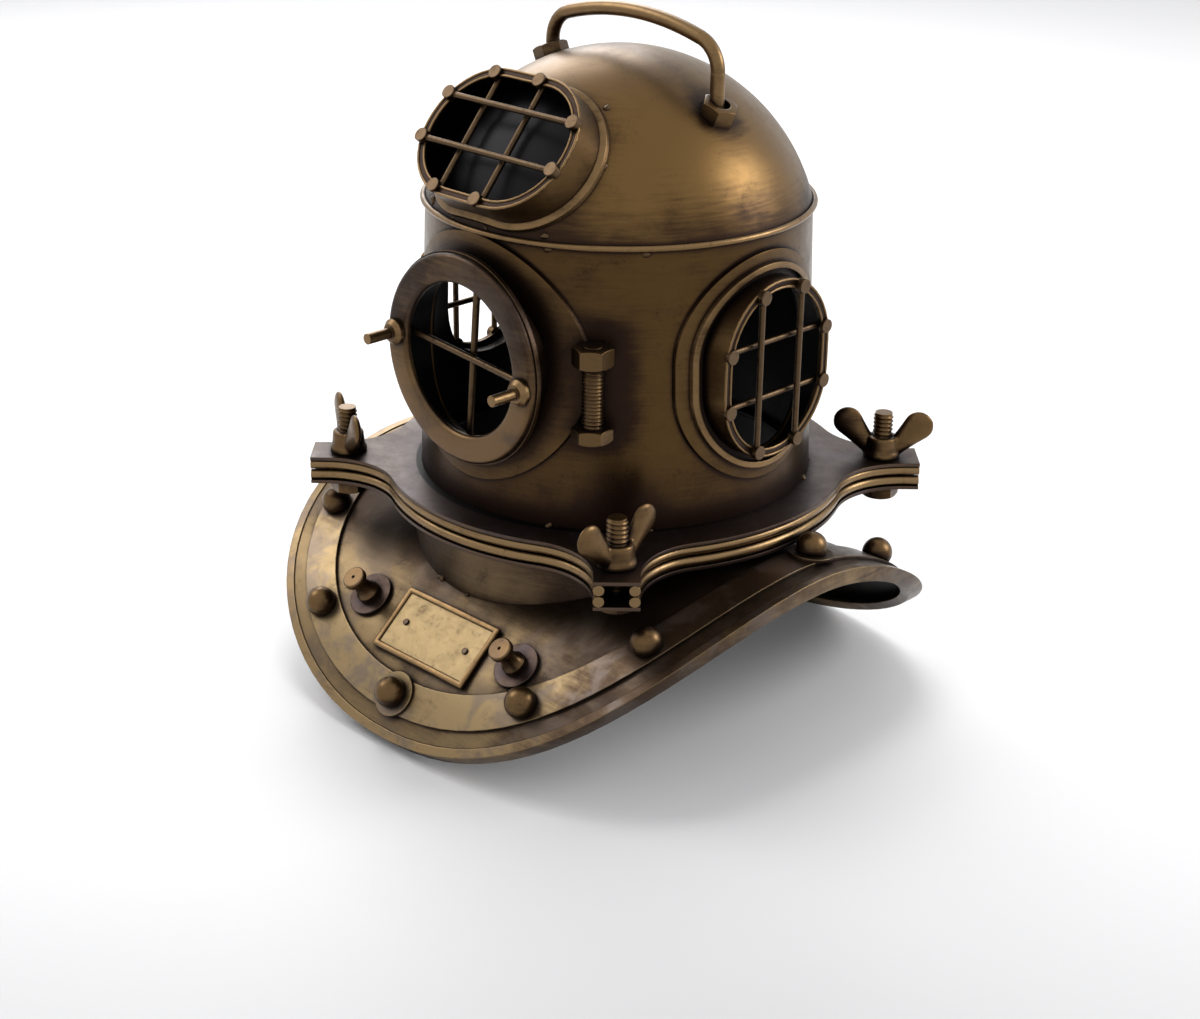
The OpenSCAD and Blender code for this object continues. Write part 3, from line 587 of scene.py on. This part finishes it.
# %% Rounded frame and rim, turned pegs
def rounded_over(mesh, width, steps=3):
    shape = bmesh.new()
    shape.from_mesh(mesh)
    bmesh.ops.remove_doubles(shape, verts=shape.verts, dist=0.005 * MM)
    bmesh.ops.dissolve_limit(shape, angle_limit=math.radians(0.1), verts=shape.verts,
                             edges=shape.edges)
    sharp = [edge for edge in shape.edges
             if edge.is_manifold and edge.calc_face_angle(0) > math.radians(40)]
    bmesh.ops.bevel(shape, geom=sharp, offset=width, offset_type="OFFSET", segments=steps,
                    profile=0.5, affect="EDGES", clamp_overlap=True)
    return mesh_of("rounded", shape)


def lathe(profile, steps=40):
    """A closed ring turned round Z from pairs of a radius and a height."""
    shape = bmesh.new()
    skinned(shape, turned_rows(shape, profile, steps, upright))
    bmesh.ops.recalc_face_normals(shape, faces=shape.faces)
    return mesh_of("lathe", shape)


rim = piece("breastplate_rim_rounded", rounded_over(solids["breastplate_rim"].data, 0.5 * MM),
            "corselet", rim_brass, ["breastplate_rim"], 50)
bend_shading(rim.data)
piece("plaque_frame_rounded", rounded_over(solids["plaque_frame"].data, 0.42 * MM), "corselet",
      wire_brass, ["plaque_frame"], 60)
pegs = []
for side in (-1, 1):
    points = [v.co for v in solids["pegs"].data.vertices if (v.co.x - 2 * MM) * side > 0]
    centre = sum(points, Vector()) / len(points)
    axis = Vector((0, -0.5, 0.8))
    for _ in range(40):  # each turn brings the axis nearer to the peg's longest way
        axis = sum(((p - centre) * (p - centre).dot(axis) for p in points), Vector()).normalized()
    depths = [(p - centre).dot(axis) for p in points]
    tall = (max(depths) - min(depths)) / MM
    profile = [(0.45, 0), (3.6, 0), (3.5, 1.8), (2.9, 2.7), (2.5, 3.9), (2.25, 5.4),
               (2.15, tall - 2.2), (2.2, tall - 2.0), (3.2, tall - 2.0), (3.5, tall - 1.7),
               (3.5, tall - 0.3), (3.2, tall), (0.45, tall)]
    foot = centre + axis * min(depths)
    pegs.append(moved(lathe([(r * MM, z * MM) for r, z in profile]), foot, 0, axis))
    print("peg", side, "length mm", round(tall, 2), "axis", [round(a, 3) for a in axis])
piece("pegs_turned", pegs, "corselet", ring_brass, ["pegs"], 30)

# %% [markdown]
# A real bolt has a thread and a hexagon with turned-off corners. The thread could be cut with a
# boolean, but a helix is a curve that a small profile follows, which is a job for Geometry Nodes.
# The same tree stands a thread on every vertex that it is given, so one set of sizes serves all
# the bolts.

# %% A tree with named inputs
class Grower:
    """A Geometry Nodes tree that stands a shape on each vertex, along its 'facing'."""

    def __init__(self, name, sizes):
        self.group = bpy.data.node_groups.new(name, "GeometryNodeTree")
        face, self.nodes = self.group.interface, Nodes(self.group)
        kinds = {"Places": "Geometry", "Finish": "Material", **dict.fromkeys(sizes, "Float")}
        for label, kind in kinds.items():
            face.new_socket(label, in_out="INPUT", socket_type="NodeSocket" + kind)
        face.new_socket("Grown", in_out="OUTPUT", socket_type="NodeSocketGeometry")
        self.sizes = dict(sizes)
        self.entry = self.nodes.node("NodeGroupInput")

    def size(self, label):
        return Value(self.group, self.entry.outputs[label])

    def stand(self, shape, spread=0.0, tilt=0.0, seed=1):
        """Instances of shape on the places, with a random size and tilt, and the tree's end."""
        nodes, spin = self.nodes, 3.0 if tilt else 0
        facing = nodes.out("GeometryNodeInputNamedAttribute", "Attribute",
                           {"Name": "facing"}, data_type="FLOAT_VECTOR")
        lay = nodes.out("FunctionNodeAlignRotationToVector", "Rotation",
                        {"Vector": facing}, axis="Z")
        lean = nodes.out("FunctionNodeRandomValue", 0,
                         {0: (-tilt, -tilt, -spin), 1: (tilt, tilt, spin),
                          "Seed": seed}, data_type="FLOAT_VECTOR")
        growth = nodes.out("FunctionNodeRandomValue", 1,
                           {2: 1 - spread, 3: 1 + spread, "Seed": seed + 1}, data_type="FLOAT")
        set_out = nodes.out("GeometryNodeInstanceOnPoints", "Instances",
                            {"Points": self.entry.outputs["Places"], "Instance": shape,
                             "Rotation": lay, "Scale": growth})
        leaning = nodes.out("GeometryNodeRotateInstances", "Instances",
                            {"Instances": set_out, "Rotation": lean})
        return nodes.out("GeometryNodeRealizeInstances", "Geometry", {"Geometry": leaning})

    def lifted(self, geometry, height):
        up = self.nodes.out("ShaderNodeCombineXYZ", "Vector", {"Z": height})
        return self.nodes.out("GeometryNodeTransform", "Geometry",
                              {"Geometry": geometry, "Translation": up})

    def end(self, geometry):
        done = self.nodes.out("GeometryNodeSetMaterial", "Geometry",
                              {"Geometry": geometry, "Material": self.entry.outputs["Finish"]})
        self.nodes.node("NodeGroupOutput", {"Grown": done})

    def grow(self, name, spots, material, **changes):
        """A plain mesh with one shape at each spot, a pair of a place and a facing."""
        mesh = bpy.data.meshes.new(name)
        mesh.from_pydata([place for place, facing in spots], [], [])
        facing = mesh.attributes.new("facing", "FLOAT_VECTOR", "POINT")
        facing.data.foreach_set("vector", [part for place, way in spots for part in way])
        holder = placed(name, mesh)
        modifier = holder.modifiers.new("grower", "NODES")
        modifier.node_group = self.group
        values = {**self.sizes, **changes, "Finish": material}
        for item in self.group.interface.items_tree:
            if item.in_out == "INPUT" and item.name in values:
                modifier[item.identifier] = values[item.name]
        print(name, "grew on", len(spots), "spots")
        return settled(holder)


# %% [markdown]
# A thread is a small square profile that follows a helix round a plain rod. Its length, radius,
# pitch and ridge are inputs, so the fine thread beside the window comes from the same tree.

# %% Threads
def make_thread_tree():
    tree = Grower("thread", {"Length": 14 * MM, "Radius": 3 * MM, "Pitch": 1.3 * MM,
                             "Ridge": 0.4 * MM})
    nodes = tree.nodes
    length, radius, pitch, ridge = (tree.size(s) for s in ("Length", "Radius", "Pitch", "Ridge"))
    root = radius - ridge
    helix = nodes.out("GeometryNodeCurveSpiral", "Curve",
                      {"Resolution": 24, "Rotations": (length - ridge * 3) / pitch,
                       "Start Radius": root, "End Radius": root, "Height": length - ridge * 3})
    level = nodes.out("GeometryNodeSetCurveNormal", "Curve", {"Curve": helix}, mode="Z_UP")
    crest = nodes.out("GeometryNodeCurvePrimitiveCircle", "Curve",
                      {"Resolution": 4, "Radius": ridge})
    wound = nodes.out("GeometryNodeCurveToMesh", "Mesh",
                      {"Curve": level, "Profile Curve": crest, "Fill Caps": True})
    rod = nodes.out("GeometryNodeMeshCylinder", "Mesh",
                    {"Vertices": 32, "Radius": root, "Depth": length})
    both = nodes.node("GeometryNodeJoinGeometry")
    for part in (tree.lifted(wound, ridge * 1.2), tree.lifted(rod, length / 2)):
        nodes.tree.links.new(part, both.inputs[0])
    tree.end(tree.stand(both.outputs[0]))
    return tree


thread = make_thread_tree()
print("thread in mm:", {label: round(size / MM, 2) for label, size in thread.sizes.items()})

# %% [markdown]
# A lathe turns the corners off a hexagon, which leaves a shallow arc at each end of a flat. It
# could be cut with a cone, but one ring of points that dips at the corners gives the same arc.

# %% Hexagons
FACE_SHARE, CORNER_SLOPE = 0.97, 0.495


def hexagon(height, width, bore=0.0, steps=48):
    """A nut or bolt head on z = 0 with its corners turned off at both ends."""
    half, inner = width / 2, max(bore, 0.001 * MM)
    flat = half * FACE_SHARE
    turns = [2 * math.pi * k / steps for k in range(steps)]
    rims = [half / math.cos(t % (math.pi / 3) - math.pi / 6) for t in turns]
    points, loops = [], []
    for end, inward in ((0, 1), (height, -1)):
        level = [end] * steps
        falls = [end + inward * (rim - flat) * CORNER_SLOPE for rim in rims]
        starts = []
        for radii, heights in (([inner] * steps, level), ([flat] * steps, level), (rims, falls)):
            starts.append(len(points))
            points += [(r * math.cos(t), r * math.sin(t), z)
                       for r, t, z in zip(radii, turns, heights)]
        loops += starts[::inward]
    faces = [(a + k, a + (k + 1) % steps, b + (k + 1) % steps, b + k)
             for a, b in zip(loops, loops[1:] + loops[:1]) for k in range(steps)]
    mesh = bpy.data.meshes.new("hexagon")
    mesh.from_pydata(points, [], faces)
    return mesh


BOLT_REACH, HEAD_H, HEX_W, SUNK = 80.1 * MM, 4 * MM, 10 * MM, 0.2 * MM


def bolt_spot(turn, z):
    return Vector((BOLT_REACH * math.cos(turn), BOLT_REACH * math.sin(turn), z))


def thread_spot(foot):
    """Where a thread starts, a little inside the head that stands on foot, and its way up."""
    return tuple(foot + Vector((0, 0, HEAD_H - SUNK))), (0, 0, 1)


low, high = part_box("flange_bolts")
bolt_turns = [math.radians(t) for t in (-45, 45, 135, 225)]
bolt_feet = [bolt_spot(t, low[2]) for t in bolt_turns]
heads = [moved(hexagon(HEAD_H, HEX_W), p, turn=t) for p, t in zip(bolt_feet, bolt_turns)]
rods = thread.grow("bolt_threads", [thread_spot(p) for p in bolt_feet], wire_brass,
                   Length=high[2] - low[2] - HEAD_H + SUNK)
piece("flange_bolts_cut", heads + [rods], "corselet", nut_brass,
      ["flange_bolts"])

# %% [markdown]
# One more bolt stands beside the front window, with a hexagon at each end and a fine thread
# between them.

# %% Hinge bolt
HINGE_TURN, HINGE_Z, HINGE_L, NUT_H = math.radians(38.5), 28 * MM, 27 * MM, 5.4 * MM
hinge_reach = barrel_radius(FLANGE_Z + HINGE_Z + HINGE_L) + 5 * MM
hinge_foot = Vector((hinge_reach * math.sin(HINGE_TURN), -hinge_reach * math.cos(HINGE_TURN),
                     FLANGE_Z + HINGE_Z))
hinge_head = moved(hexagon(HEAD_H, HEX_W), hinge_foot, HINGE_TURN)
hinge_thread = thread.grow("hinge_thread", [thread_spot(hinge_foot)], wire_brass,
                           Length=HINGE_L - HEAD_H + SUNK, Pitch=1.05 * MM, Ridge=0.36 * MM)
piece("hinge_bolt_cut", [hinge_head, hinge_thread], "bonnet", nut_brass,
      ["hinge_bolt"])
hinge_nut = moved(hexagon(NUT_H, HEX_W, 2.7 * MM),
                  hinge_foot + Vector((0, 0, HINGE_L - NUT_H - 0.3 * MM)), HINGE_TURN)
piece("hinge_nut_cut", hinge_nut, "bonnet", nut_brass, ["hinge_nut"])

# %% [markdown]
# The wing nuts are castings: a thick hub runs into two ears with no sharp line between them. The
# simple way to get that is to pile up round lumps, wrap them in one skin with a voxel remesh and
# smooth it, as wax is smoothed for a casting. The hole comes last, so that it stays true.

# %% Wing nuts
def lump(shape, place, radii, steps=20):
    added = bmesh.ops.create_uvsphere(shape, u_segments=steps, v_segments=steps // 2, radius=1)
    bmesh.ops.scale(shape, vec=radii, verts=added["verts"])
    bmesh.ops.translate(shape, vec=place, verts=added["verts"])


def turned(shape, profile, steps=32):
    """A solid of revolution round Z from pairs of a radius and a height."""
    rows = turned_rows(shape, profile, steps, upright)
    skinned(shape, rows, closed=False)
    shape.faces.new(rows[0][::-1])
    shape.faces.new(rows[-1])


def cast_wing_nut():
    shape = bmesh.new()
    turned(shape, [(5.4 * MM, 0), (5.5 * MM, 0.4 * MM), (5.5 * MM, 1.5 * MM), (4.9 * MM, 2.6 * MM),
                   (4.6 * MM, 6.2 * MM), (4.2 * MM, 6.7 * MM)])
    root, tip = Vector((3.8, 0, 3.0)), Vector((10.5, 0, 10.4))
    for side in (-1, 1):
        for step in range(13):
            t = step / 12
            at = root.lerp(tip, t)
            wide = 2.7 + 1.8 * t ** 1.3
            thick = 2.3 - 0.8 * t
            lump(shape, (side * at.x * MM, 0, at.z * MM), (wide * MM, thick * MM, wide * MM))
    lumps = placed("wing_nut_rough", mesh_of("wing_nut_rough", shape))
    skin = lumps.modifiers.new("skin", "REMESH")
    skin.mode, skin.voxel_size = "VOXEL", 0.32 * MM
    wax = lumps.modifiers.new("wax", "SMOOTH")
    wax.factor, wax.iterations = 0.6, 6
    drill = bmesh.new()
    turned(drill, [(3.05 * MM, -2 * MM), (3.05 * MM, 20 * MM)], 48)
    bit = placed("drill", mesh_of("drill", drill))
    hole = lumps.modifiers.new("hole", "BOOLEAN")
    hole.operation, hole.object, hole.solver = "DIFFERENCE", bit, "EXACT"
    cast = settled(lumps)
    bpy.data.objects.remove(bit)
    low = min(v.co.z for v in cast.vertices)
    for v in cast.vertices:
        v.co.z -= low
    return cast


wing_nut = cast_wing_nut()
wing_turns = {"front_right": (-45, 91), "front_left": (225, 334), "back_right": (45, 35),
              "back_left": (135, 80)}
for place, (bolt_turn, wing_turn) in wing_turns.items():
    at = bolt_spot(math.radians(bolt_turn), FLANGE_Z)
    nut = moved(wing_nut, at, math.radians(wing_turn))
    piece("wing_nut_cast_" + place, nut, "wing_nut_" + place, nut_brass,
          ["wing_nut_" + place], 50)

# %% [markdown]
# The front window's ring is cast, so its edges are rounded over. It is one profile turned round the
# window's axis. Each grilled window has a wire round the outer and the inner edge of its mouth,
# which catches the light as two thin lines, and each is a circle swept along an oval.

# %% Front ring and mouth wires
def ring_mesh(profile, steps=96):
    """A closed ring turned round -Y at the front window, from pairs of a radius and a depth."""
    shape = bmesh.new()
    skinned(shape, turned_rows(shape, profile, steps,
                               lambda c, s, r, y: (r * c, y, FRONT_Z + r * s)))
    return mesh_of("ring", shape)


low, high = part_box("front_ring")
face_y, back_y = low[1], high[1]
OPENING, OUTSIDE, ROUND = 21.6 * MM, (high[0] - low[0]) / 2, 1.5 * MM
quarter = [math.radians(90 * step / 6) for step in range(7)]
profile = [(OUTSIDE, back_y)]
profile += [(OUTSIDE - ROUND + ROUND * math.cos(t), face_y + ROUND - ROUND * math.sin(t))
            for t in quarter]
profile += [(OPENING + ROUND - ROUND * math.sin(t), face_y + ROUND - ROUND * math.cos(t))
            for t in quarter]
profile.append((OPENING, back_y))
piece("front_ring_cast", ring_mesh(profile), "bonnet", ring_brass, ["front_ring"], 50)


def oval_path(radius, straight, steps=24):
    """Points of an oval whose straight sides lie along the first axis."""
    path = []
    for side in (1, -1):
        for k in range(steps + 1):
            turn = math.radians(-90 + 180 * k / steps)
            path.append((side * (straight + radius * math.cos(turn)),
                         side * radius * math.sin(turn)))
    return path


def plane_normal(path):
    third = len(path) // 3
    return (path[third] - path[0]).cross(path[2 * len(path) // 3] - path[0]).normalized()


def swept(path, radius, sides=8):
    """A wire along a closed flat path of points."""
    shape = bmesh.new()
    axis, rows = plane_normal(path), []
    for k, point in enumerate(path):
        along = (path[(k + 1) % len(path)] - path[k - 1]).normalized()
        across = along.cross(axis).normalized()
        rows.append([shape.verts.new(point + (across * math.cos(t) + axis * math.sin(t)) * radius)
                     for t in (2 * math.pi * s / sides for s in range(sides))])
    for a, b in zip(rows, rows[1:] + rows[:1]):
        for k in range(sides):
            n = (k + 1) % sides
            shape.faces.new((a[k], b[k], b[n], a[n]))
    return mesh_of("wire", shape)


TOP_OUT, TOP_CLIMB = Vector((0, -TOP_C, TOP_S)), Vector((0, TOP_S, TOP_C))
SIDE_MOUTH, TOP_MOUTH, MOUTH_WIRE = 61.75 * MM, 61.3 * MM, 0.42 * MM


def on_side(side, a, b):
    return Vector((side * SIDE_MOUTH, b, SIDE_Z + a))


def on_top(a, b):
    return Vector((a, 0, DOME_Z)) + TOP_OUT * TOP_MOUTH + TOP_CLIMB * b


mouths = []
for side in (-1, 1):
    for radius in (21.1 * MM, 19.2 * MM):
        path = [on_side(side, a, b) for a, b in oval_path(radius, SIDE_STRAIGHT)]
        mouths.append(swept(path, MOUTH_WIRE))
for radius in (19.6 * MM, 17.7 * MM):
    path = [on_top(a, b) for a, b in oval_path(radius, TOP_STRAIGHT)]
    mouths.append(swept(path, MOUTH_WIRE))
piece("mouth_wires", mouths, "bonnet", wire_brass, angle=60)

# %% [markdown]
# Ball-headed rivets hold the band to the breastplate. Each is a ball that was struck flat where it
# meets the sheet, so the tree cuts a sphere off below by lifting its lowest points to one plane.

# %% Ball rivets
SHOULDER_Y, SHOULDER_Z, FRONT_TILT = -2.8 * MM, 47.9 * MM, math.radians(48)
MID_HALF, MID_FRONT, MID_BACK, SQUARE = 73.7 * MM, 82.3 * MM, 37.0 * MM, 2.14
BAND_JOINT_Y, BAND_T, WASHER_T, RIVET_R = 4 * MM, 1 * MM, 0.8 * MM, 4.5 * MM


def arch_z(y):
    return RIDGE_Z - arch_r(y) + math.sqrt(arch_r(y) ** 2 - (y - RIDGE_Y) ** 2)


def front_y(v):
    way = v - (SHOULDER_Y - RIDGE_Y) * math.cos(FRONT_TILT)
    way -= (SHOULDER_Z - RIDGE_Z + FRONT_ARCH) * math.sin(FRONT_TILT)
    return RIDGE_Y - FRONT_ARCH * math.sin(FRONT_TILT + math.asin(way / FRONT_ARCH))


def front_spot(t):
    c, s = circle(t)
    return (math.copysign(MID_HALF * abs(c) ** (2 / SQUARE), c),
            front_y(MID_FRONT * s ** (2 / SQUARE)))


def back_spot(t):
    c, s = circle(t)
    drop = SHOULDER_Z - MID_BACK * s - RIDGE_Z + BACK_ARCH
    return MID_HALF * c, RIDGE_Y + math.sqrt(BACK_ARCH ** 2 - drop * drop)


def above(spot, height):
    """A point at a height over the sheet, with the way that the sheet faces."""
    x, y = spot
    facing = arch_facing(y)
    return tuple(Vector((x, y, arch_z(y))) + facing * height), tuple(facing)


def make_ball_tree():
    tree = Grower("ball", {"Radius": RIVET_R, "Sunk": RIVET_R / 3})
    nodes = tree.nodes
    ball = nodes.out("GeometryNodeMeshUVSphere", "Mesh",
                     {"Segments": 32, "Rings": 18, "Radius": tree.size("Radius")})
    x, y, z = nodes.axes(nodes.out("GeometryNodeInputPosition", "Position"))
    floor = tree.size("Sunk") * -1 - 0.25 * MM
    struck = nodes.out("ShaderNodeCombineXYZ", "Vector", {"X": x, "Y": y, "Z": z.most(floor)})
    flat = nodes.out("GeometryNodeSetPosition", "Geometry", {"Geometry": ball, "Position": struck})
    tree.end(tree.stand(flat, spread=0.02, tilt=0.05, seed=4))
    return tree


joint_spots = [front_spot(90), (-MID_HALF, BAND_JOINT_Y), (MID_HALF, BAND_JOINT_Y)]
plain_spots = [front_spot(abs(end - t)) for t in (27, 55.5) for end in (0, 180)]
plain_spots += [back_spot(abs(end - t)) for t in (12, 40, 66) for end in (0, 180)] + [back_spot(90)]
centres = [above(spot, BAND_T + WASHER_T + RIVET_R / 3) for spot in joint_spots]
centres += [above(spot, BAND_T + RIVET_R / 3) for spot in plain_spots]
balls = make_ball_tree().grow("ball_rivets", centres, wire_brass)
piece("ball_rivets", balls, "corselet", nut_brass, ["band_rivets"], 60)

# %% [markdown]
# Everything on the helmet is soft soldered, and the solder left drops and burrs along the seams.
# They could be modelled one by one, but a tree that swells and dents a small ball differently at
# each spot gives the same careless look from one list of places.

# %% Solder
def make_solder_tree():
    tree = Grower("solder", {"Radius": 0.9 * MM, "Height": 0.55, "Dents": 0.45 * MM})
    nodes = tree.nodes
    ball = nodes.out("GeometryNodeMeshIcoSphere", "Mesh",
                     {"Radius": tree.size("Radius"), "Subdivisions": 3})
    squash = nodes.out("ShaderNodeCombineXYZ", "Vector",
                       {"X": 1.0, "Y": 1.25, "Z": tree.size("Height")})
    low = nodes.out("GeometryNodeTransform", "Geometry", {"Geometry": ball, "Scale": squash})
    stood = tree.stand(low, spread=0.4, tilt=0.35, seed=11)
    where = nodes.out("GeometryNodeInputPosition", "Position")
    cloud = nodes.out("ShaderNodeTexNoise", "Color",
                      {"Vector": where, "Scale": 900.0, "Detail": 2.0})
    push = nodes.out("ShaderNodeVectorMath", "Vector",
                     {0: cloud, 1: (0.5, 0.5, 0.5)}, operation="SUBTRACT")
    shove = nodes.out("ShaderNodeVectorMath", "Vector",
                      {0: push, "Scale": tree.size("Dents") * 2}, operation="SCALE")
    dented = nodes.out("GeometryNodeSetPosition", "Geometry", {"Geometry": stood, "Offset": shove})
    tree.end(dented)
    return tree


def outward(turn):
    """Level and away from the helmet's axis, turn degrees from the front towards +X."""
    c, s = circle(turn)
    return Vector((s, -c, 0))


def on_barrel(turn, z):
    way = outward(turn)
    return tuple(way * barrel_radius(z) + Vector((0, 0, z))), tuple(way)


def on_dome(x, rise):
    """A point on the dome beside the top window, from the window's axis."""
    depth = math.sqrt(DOME_R ** 2 - x * x - rise * rise)
    way = Vector((x, 0, 0)) + TOP_CLIMB * rise + TOP_OUT * depth
    return tuple(way + Vector((0, 0, DOME_Z))), tuple(way.normalized())


def in_corner(turn, r, z):
    """A point in the corner between a wall at radius r and a flat plate at height z."""
    way, up = outward(turn), Vector((0, 0, 1))
    return tuple(way * r + up * z), tuple((way + up).normalized())


SIDE_FOOT_R, NECK_SEAM_R = 23 * MM, 58.2 * MM


def round_side_window(side, clock):
    """A point at the foot of a side window, at an angle from its top."""
    up_by, across = (SIDE_FOOT_R * part for part in circle(clock))
    z = SIDE_Z + up_by + math.copysign(SIDE_STRAIGHT, up_by)
    return on_barrel(side * (90 + math.degrees(math.asin(across / BARREL_FOOT))), z)


solder = make_solder_tree()
chance = random.Random(7)
bonnet_spots = [in_corner(chance.uniform(0, 360), 58.1 * MM, 63.1 * MM) for _ in range(6)]
bonnet_spots += [round_side_window(side, clock) for side in (-1, 1)
                 for clock in (-150, -100, -62, -15, 20, 75, 118, 165)]
bonnet_spots += [on_dome(*spot) for spot in
                 ((-0.0285, 0.006), (-0.024, -0.018), (-0.010, -0.0222), (0.004, -0.0225),
                  (0.022, -0.019), (0.029, 0.004), (0.020, 0.020), (0.0, 0.0225), (-0.015, 0.0215))]
bonnet_spots += [on_barrel(turn, z * MM) for turn, z in
                 ((37, 102), (34.5, 118), (-36, 100), (-34, 120), (52, 141.5), (25, 141.8),
                  (140, 142))]
piece("bonnet_solder", solder.grow("bonnet_solder", bonnet_spots, bar_brass), "bonnet", bar_brass,
      angle=60)
seam_turns = [chance.uniform(-80, 80) for _ in range(7)]
seam_turns += [chance.uniform(100, 260) for _ in range(3)]
corselet_spots = []
for turn in seam_turns:
    way = outward(turn)
    x, y = way.x * NECK_SEAM_R, way.y * NECK_SEAM_R - NECK_SHIFT
    corselet_spots.append(((x, y, arch_z(y) + 0.1 * MM),
                           tuple((arch_facing(y) + way).normalized())))
piece("corselet_solder", solder.grow("corselet_solder", corselet_spots, bar_brass), "corselet",
      bar_brass, angle=60)

# %% [markdown]
# The handle's wire drops into a small hexagon nut at each foot, with a little play round it. The
# nuts lean out with the dome that they are soldered to.

# %% Handle nuts
NUT_LEAN = math.radians(24)
nuts = []
for side in (-1, 1):
    x, lean = HANDLE_X + side * HANDLE_HALF, NUT_LEAN * side
    facing = Vector((math.sin(lean), 0, math.cos(lean)))
    foot = Vector((x, 0, DOME_Z + math.sqrt(DOME_R ** 2 - x * x))) - facing * 2.2 * MM
    nuts.append(moved(hexagon(5.8 * MM, 9 * MM, 2.75 * MM), foot, math.radians(-20 * side), facing))
piece("handle_nuts_cut", nuts, "bonnet", nut_brass, ["handle_nuts"])

# %% [markdown]
# The helmet stands on a pale floor in a white room. Metal shows what is round it, so the room is
# as white to a reflection as it is to the camera. Three round lamps, one on the left and two
# behind, show in the metal. A fourth overhead lights the floor and shows in no reflection.

# %% Floor, room and lamps
LAMP_AIM = 90 * MM


def make_floor(size=6.0, near=0.60, far=0.81):
    """A pale sheet with painted shade that darkens it a little towards the camera."""
    mesh = bpy.data.meshes.new("floor")
    half = size / 2
    mesh.from_pydata([(-half, -half, 0), (half, -half, 0), (half, half, 0), (-half, half, 0)],
                     [], [(0, 1, 2, 3)])
    floor = placed("floor", mesh)
    material, shader = new_material("floor")
    rays = shader.node("ShaderNodeLightPath").outputs
    seen = Value(shader.tree, rays["Is Camera Ray"])
    seen = seen.most(Value(shader.tree, rays["Is Glossy Ray"]))
    glow = shader.mix(seen, (0.0, 0.0, 0.0), (0.03, 0.03, 0.0303))
    x, y, z = shader.axes(shader.place())
    toward = bpy.context.scene.camera.matrix_world.translation.to_2d().normalized()
    along = x * toward.x + y * toward.y
    # Painted shade: the floor is darker in a band towards the camera.
    near_shade = along.ramp(0.02, 0.26) - along.ramp(0.40, 0.90)
    pale = shader.mix(near_shade, (far, far, far * 1.005), (near, near, near * 1.005))
    surface = shader.out("ShaderNodeBsdfPrincipled", "BSDF",
                         {"Base Color": pale, "Roughness": 0.5, "Specular IOR Level": 0.3,
                          "Emission Color": glow, "Emission Strength": 1.0})
    shader.node("ShaderNodeOutputMaterial", {"Surface": surface})
    mesh.materials.append(material)


def make_room(strength=0.57):
    world = bpy.data.worlds.new("room")
    bpy.context.scene.world = world
    world.use_nodes = True
    world.node_tree.nodes.clear()
    shader = Nodes(world.node_tree)
    rays = shader.node("ShaderNodeLightPath").outputs
    seen = Value(shader.tree, rays["Is Camera Ray"])
    for name in ("Is Glossy Ray", "Is Transmission Ray"):
        seen = seen.most(Value(shader.tree, rays[name]))
    colour = shader.mix(seen, (strength, strength, strength * 1.02), (1.0, 1.0, 1.0))
    room = shader.out("ShaderNodeBackground", "Background", {"Color": colour})
    shader.node("ShaderNodeOutputWorld", {"Surface": room})


def make_lamp(name, place, size, power, mirrored=True):
    """A round lamp. One that isn't mirrored lights the floor but shows in no reflection."""
    lamp = bpy.data.lights.new(name, "AREA")
    lamp.shape, lamp.size, lamp.energy = "DISK", size, power
    holder = placed(name, lamp)
    facing = (Vector((0, 0, LAMP_AIM)) - Vector(place)).to_track_quat("-Z", "Y")
    holder.matrix_world = Matrix.Translation(place) @ facing.to_matrix().to_4x4()
    holder.visible_glossy = mirrored


def round_helmet(turn, rise, reach):
    """A lamp's place at an angle round the helmet from +X and an angle up."""
    (x, y), (flat, high) = circle(turn), circle(rise)
    return reach * x * flat, reach * y * flat, LAMP_AIM + reach * high


make_floor()
make_room()
make_lamp("left", round_helmet(-155, 42, 1.0), 0.55, 2.6)
make_lamp("back_left", round_helmet(146, 31, 1.1), 0.66, 4.2)
make_lamp("back_right", round_helmet(45, 27, 1.0), 0.52, 4.8)
make_lamp("ceiling", (-0.35, 0.30, 1.25), 0.6, 6.5, mirrored=False)
bpy.context.scene.view_settings.view_transform = "Standard"

# %% [markdown]
# The finished helmet has to stay inside the box of the packed solids.
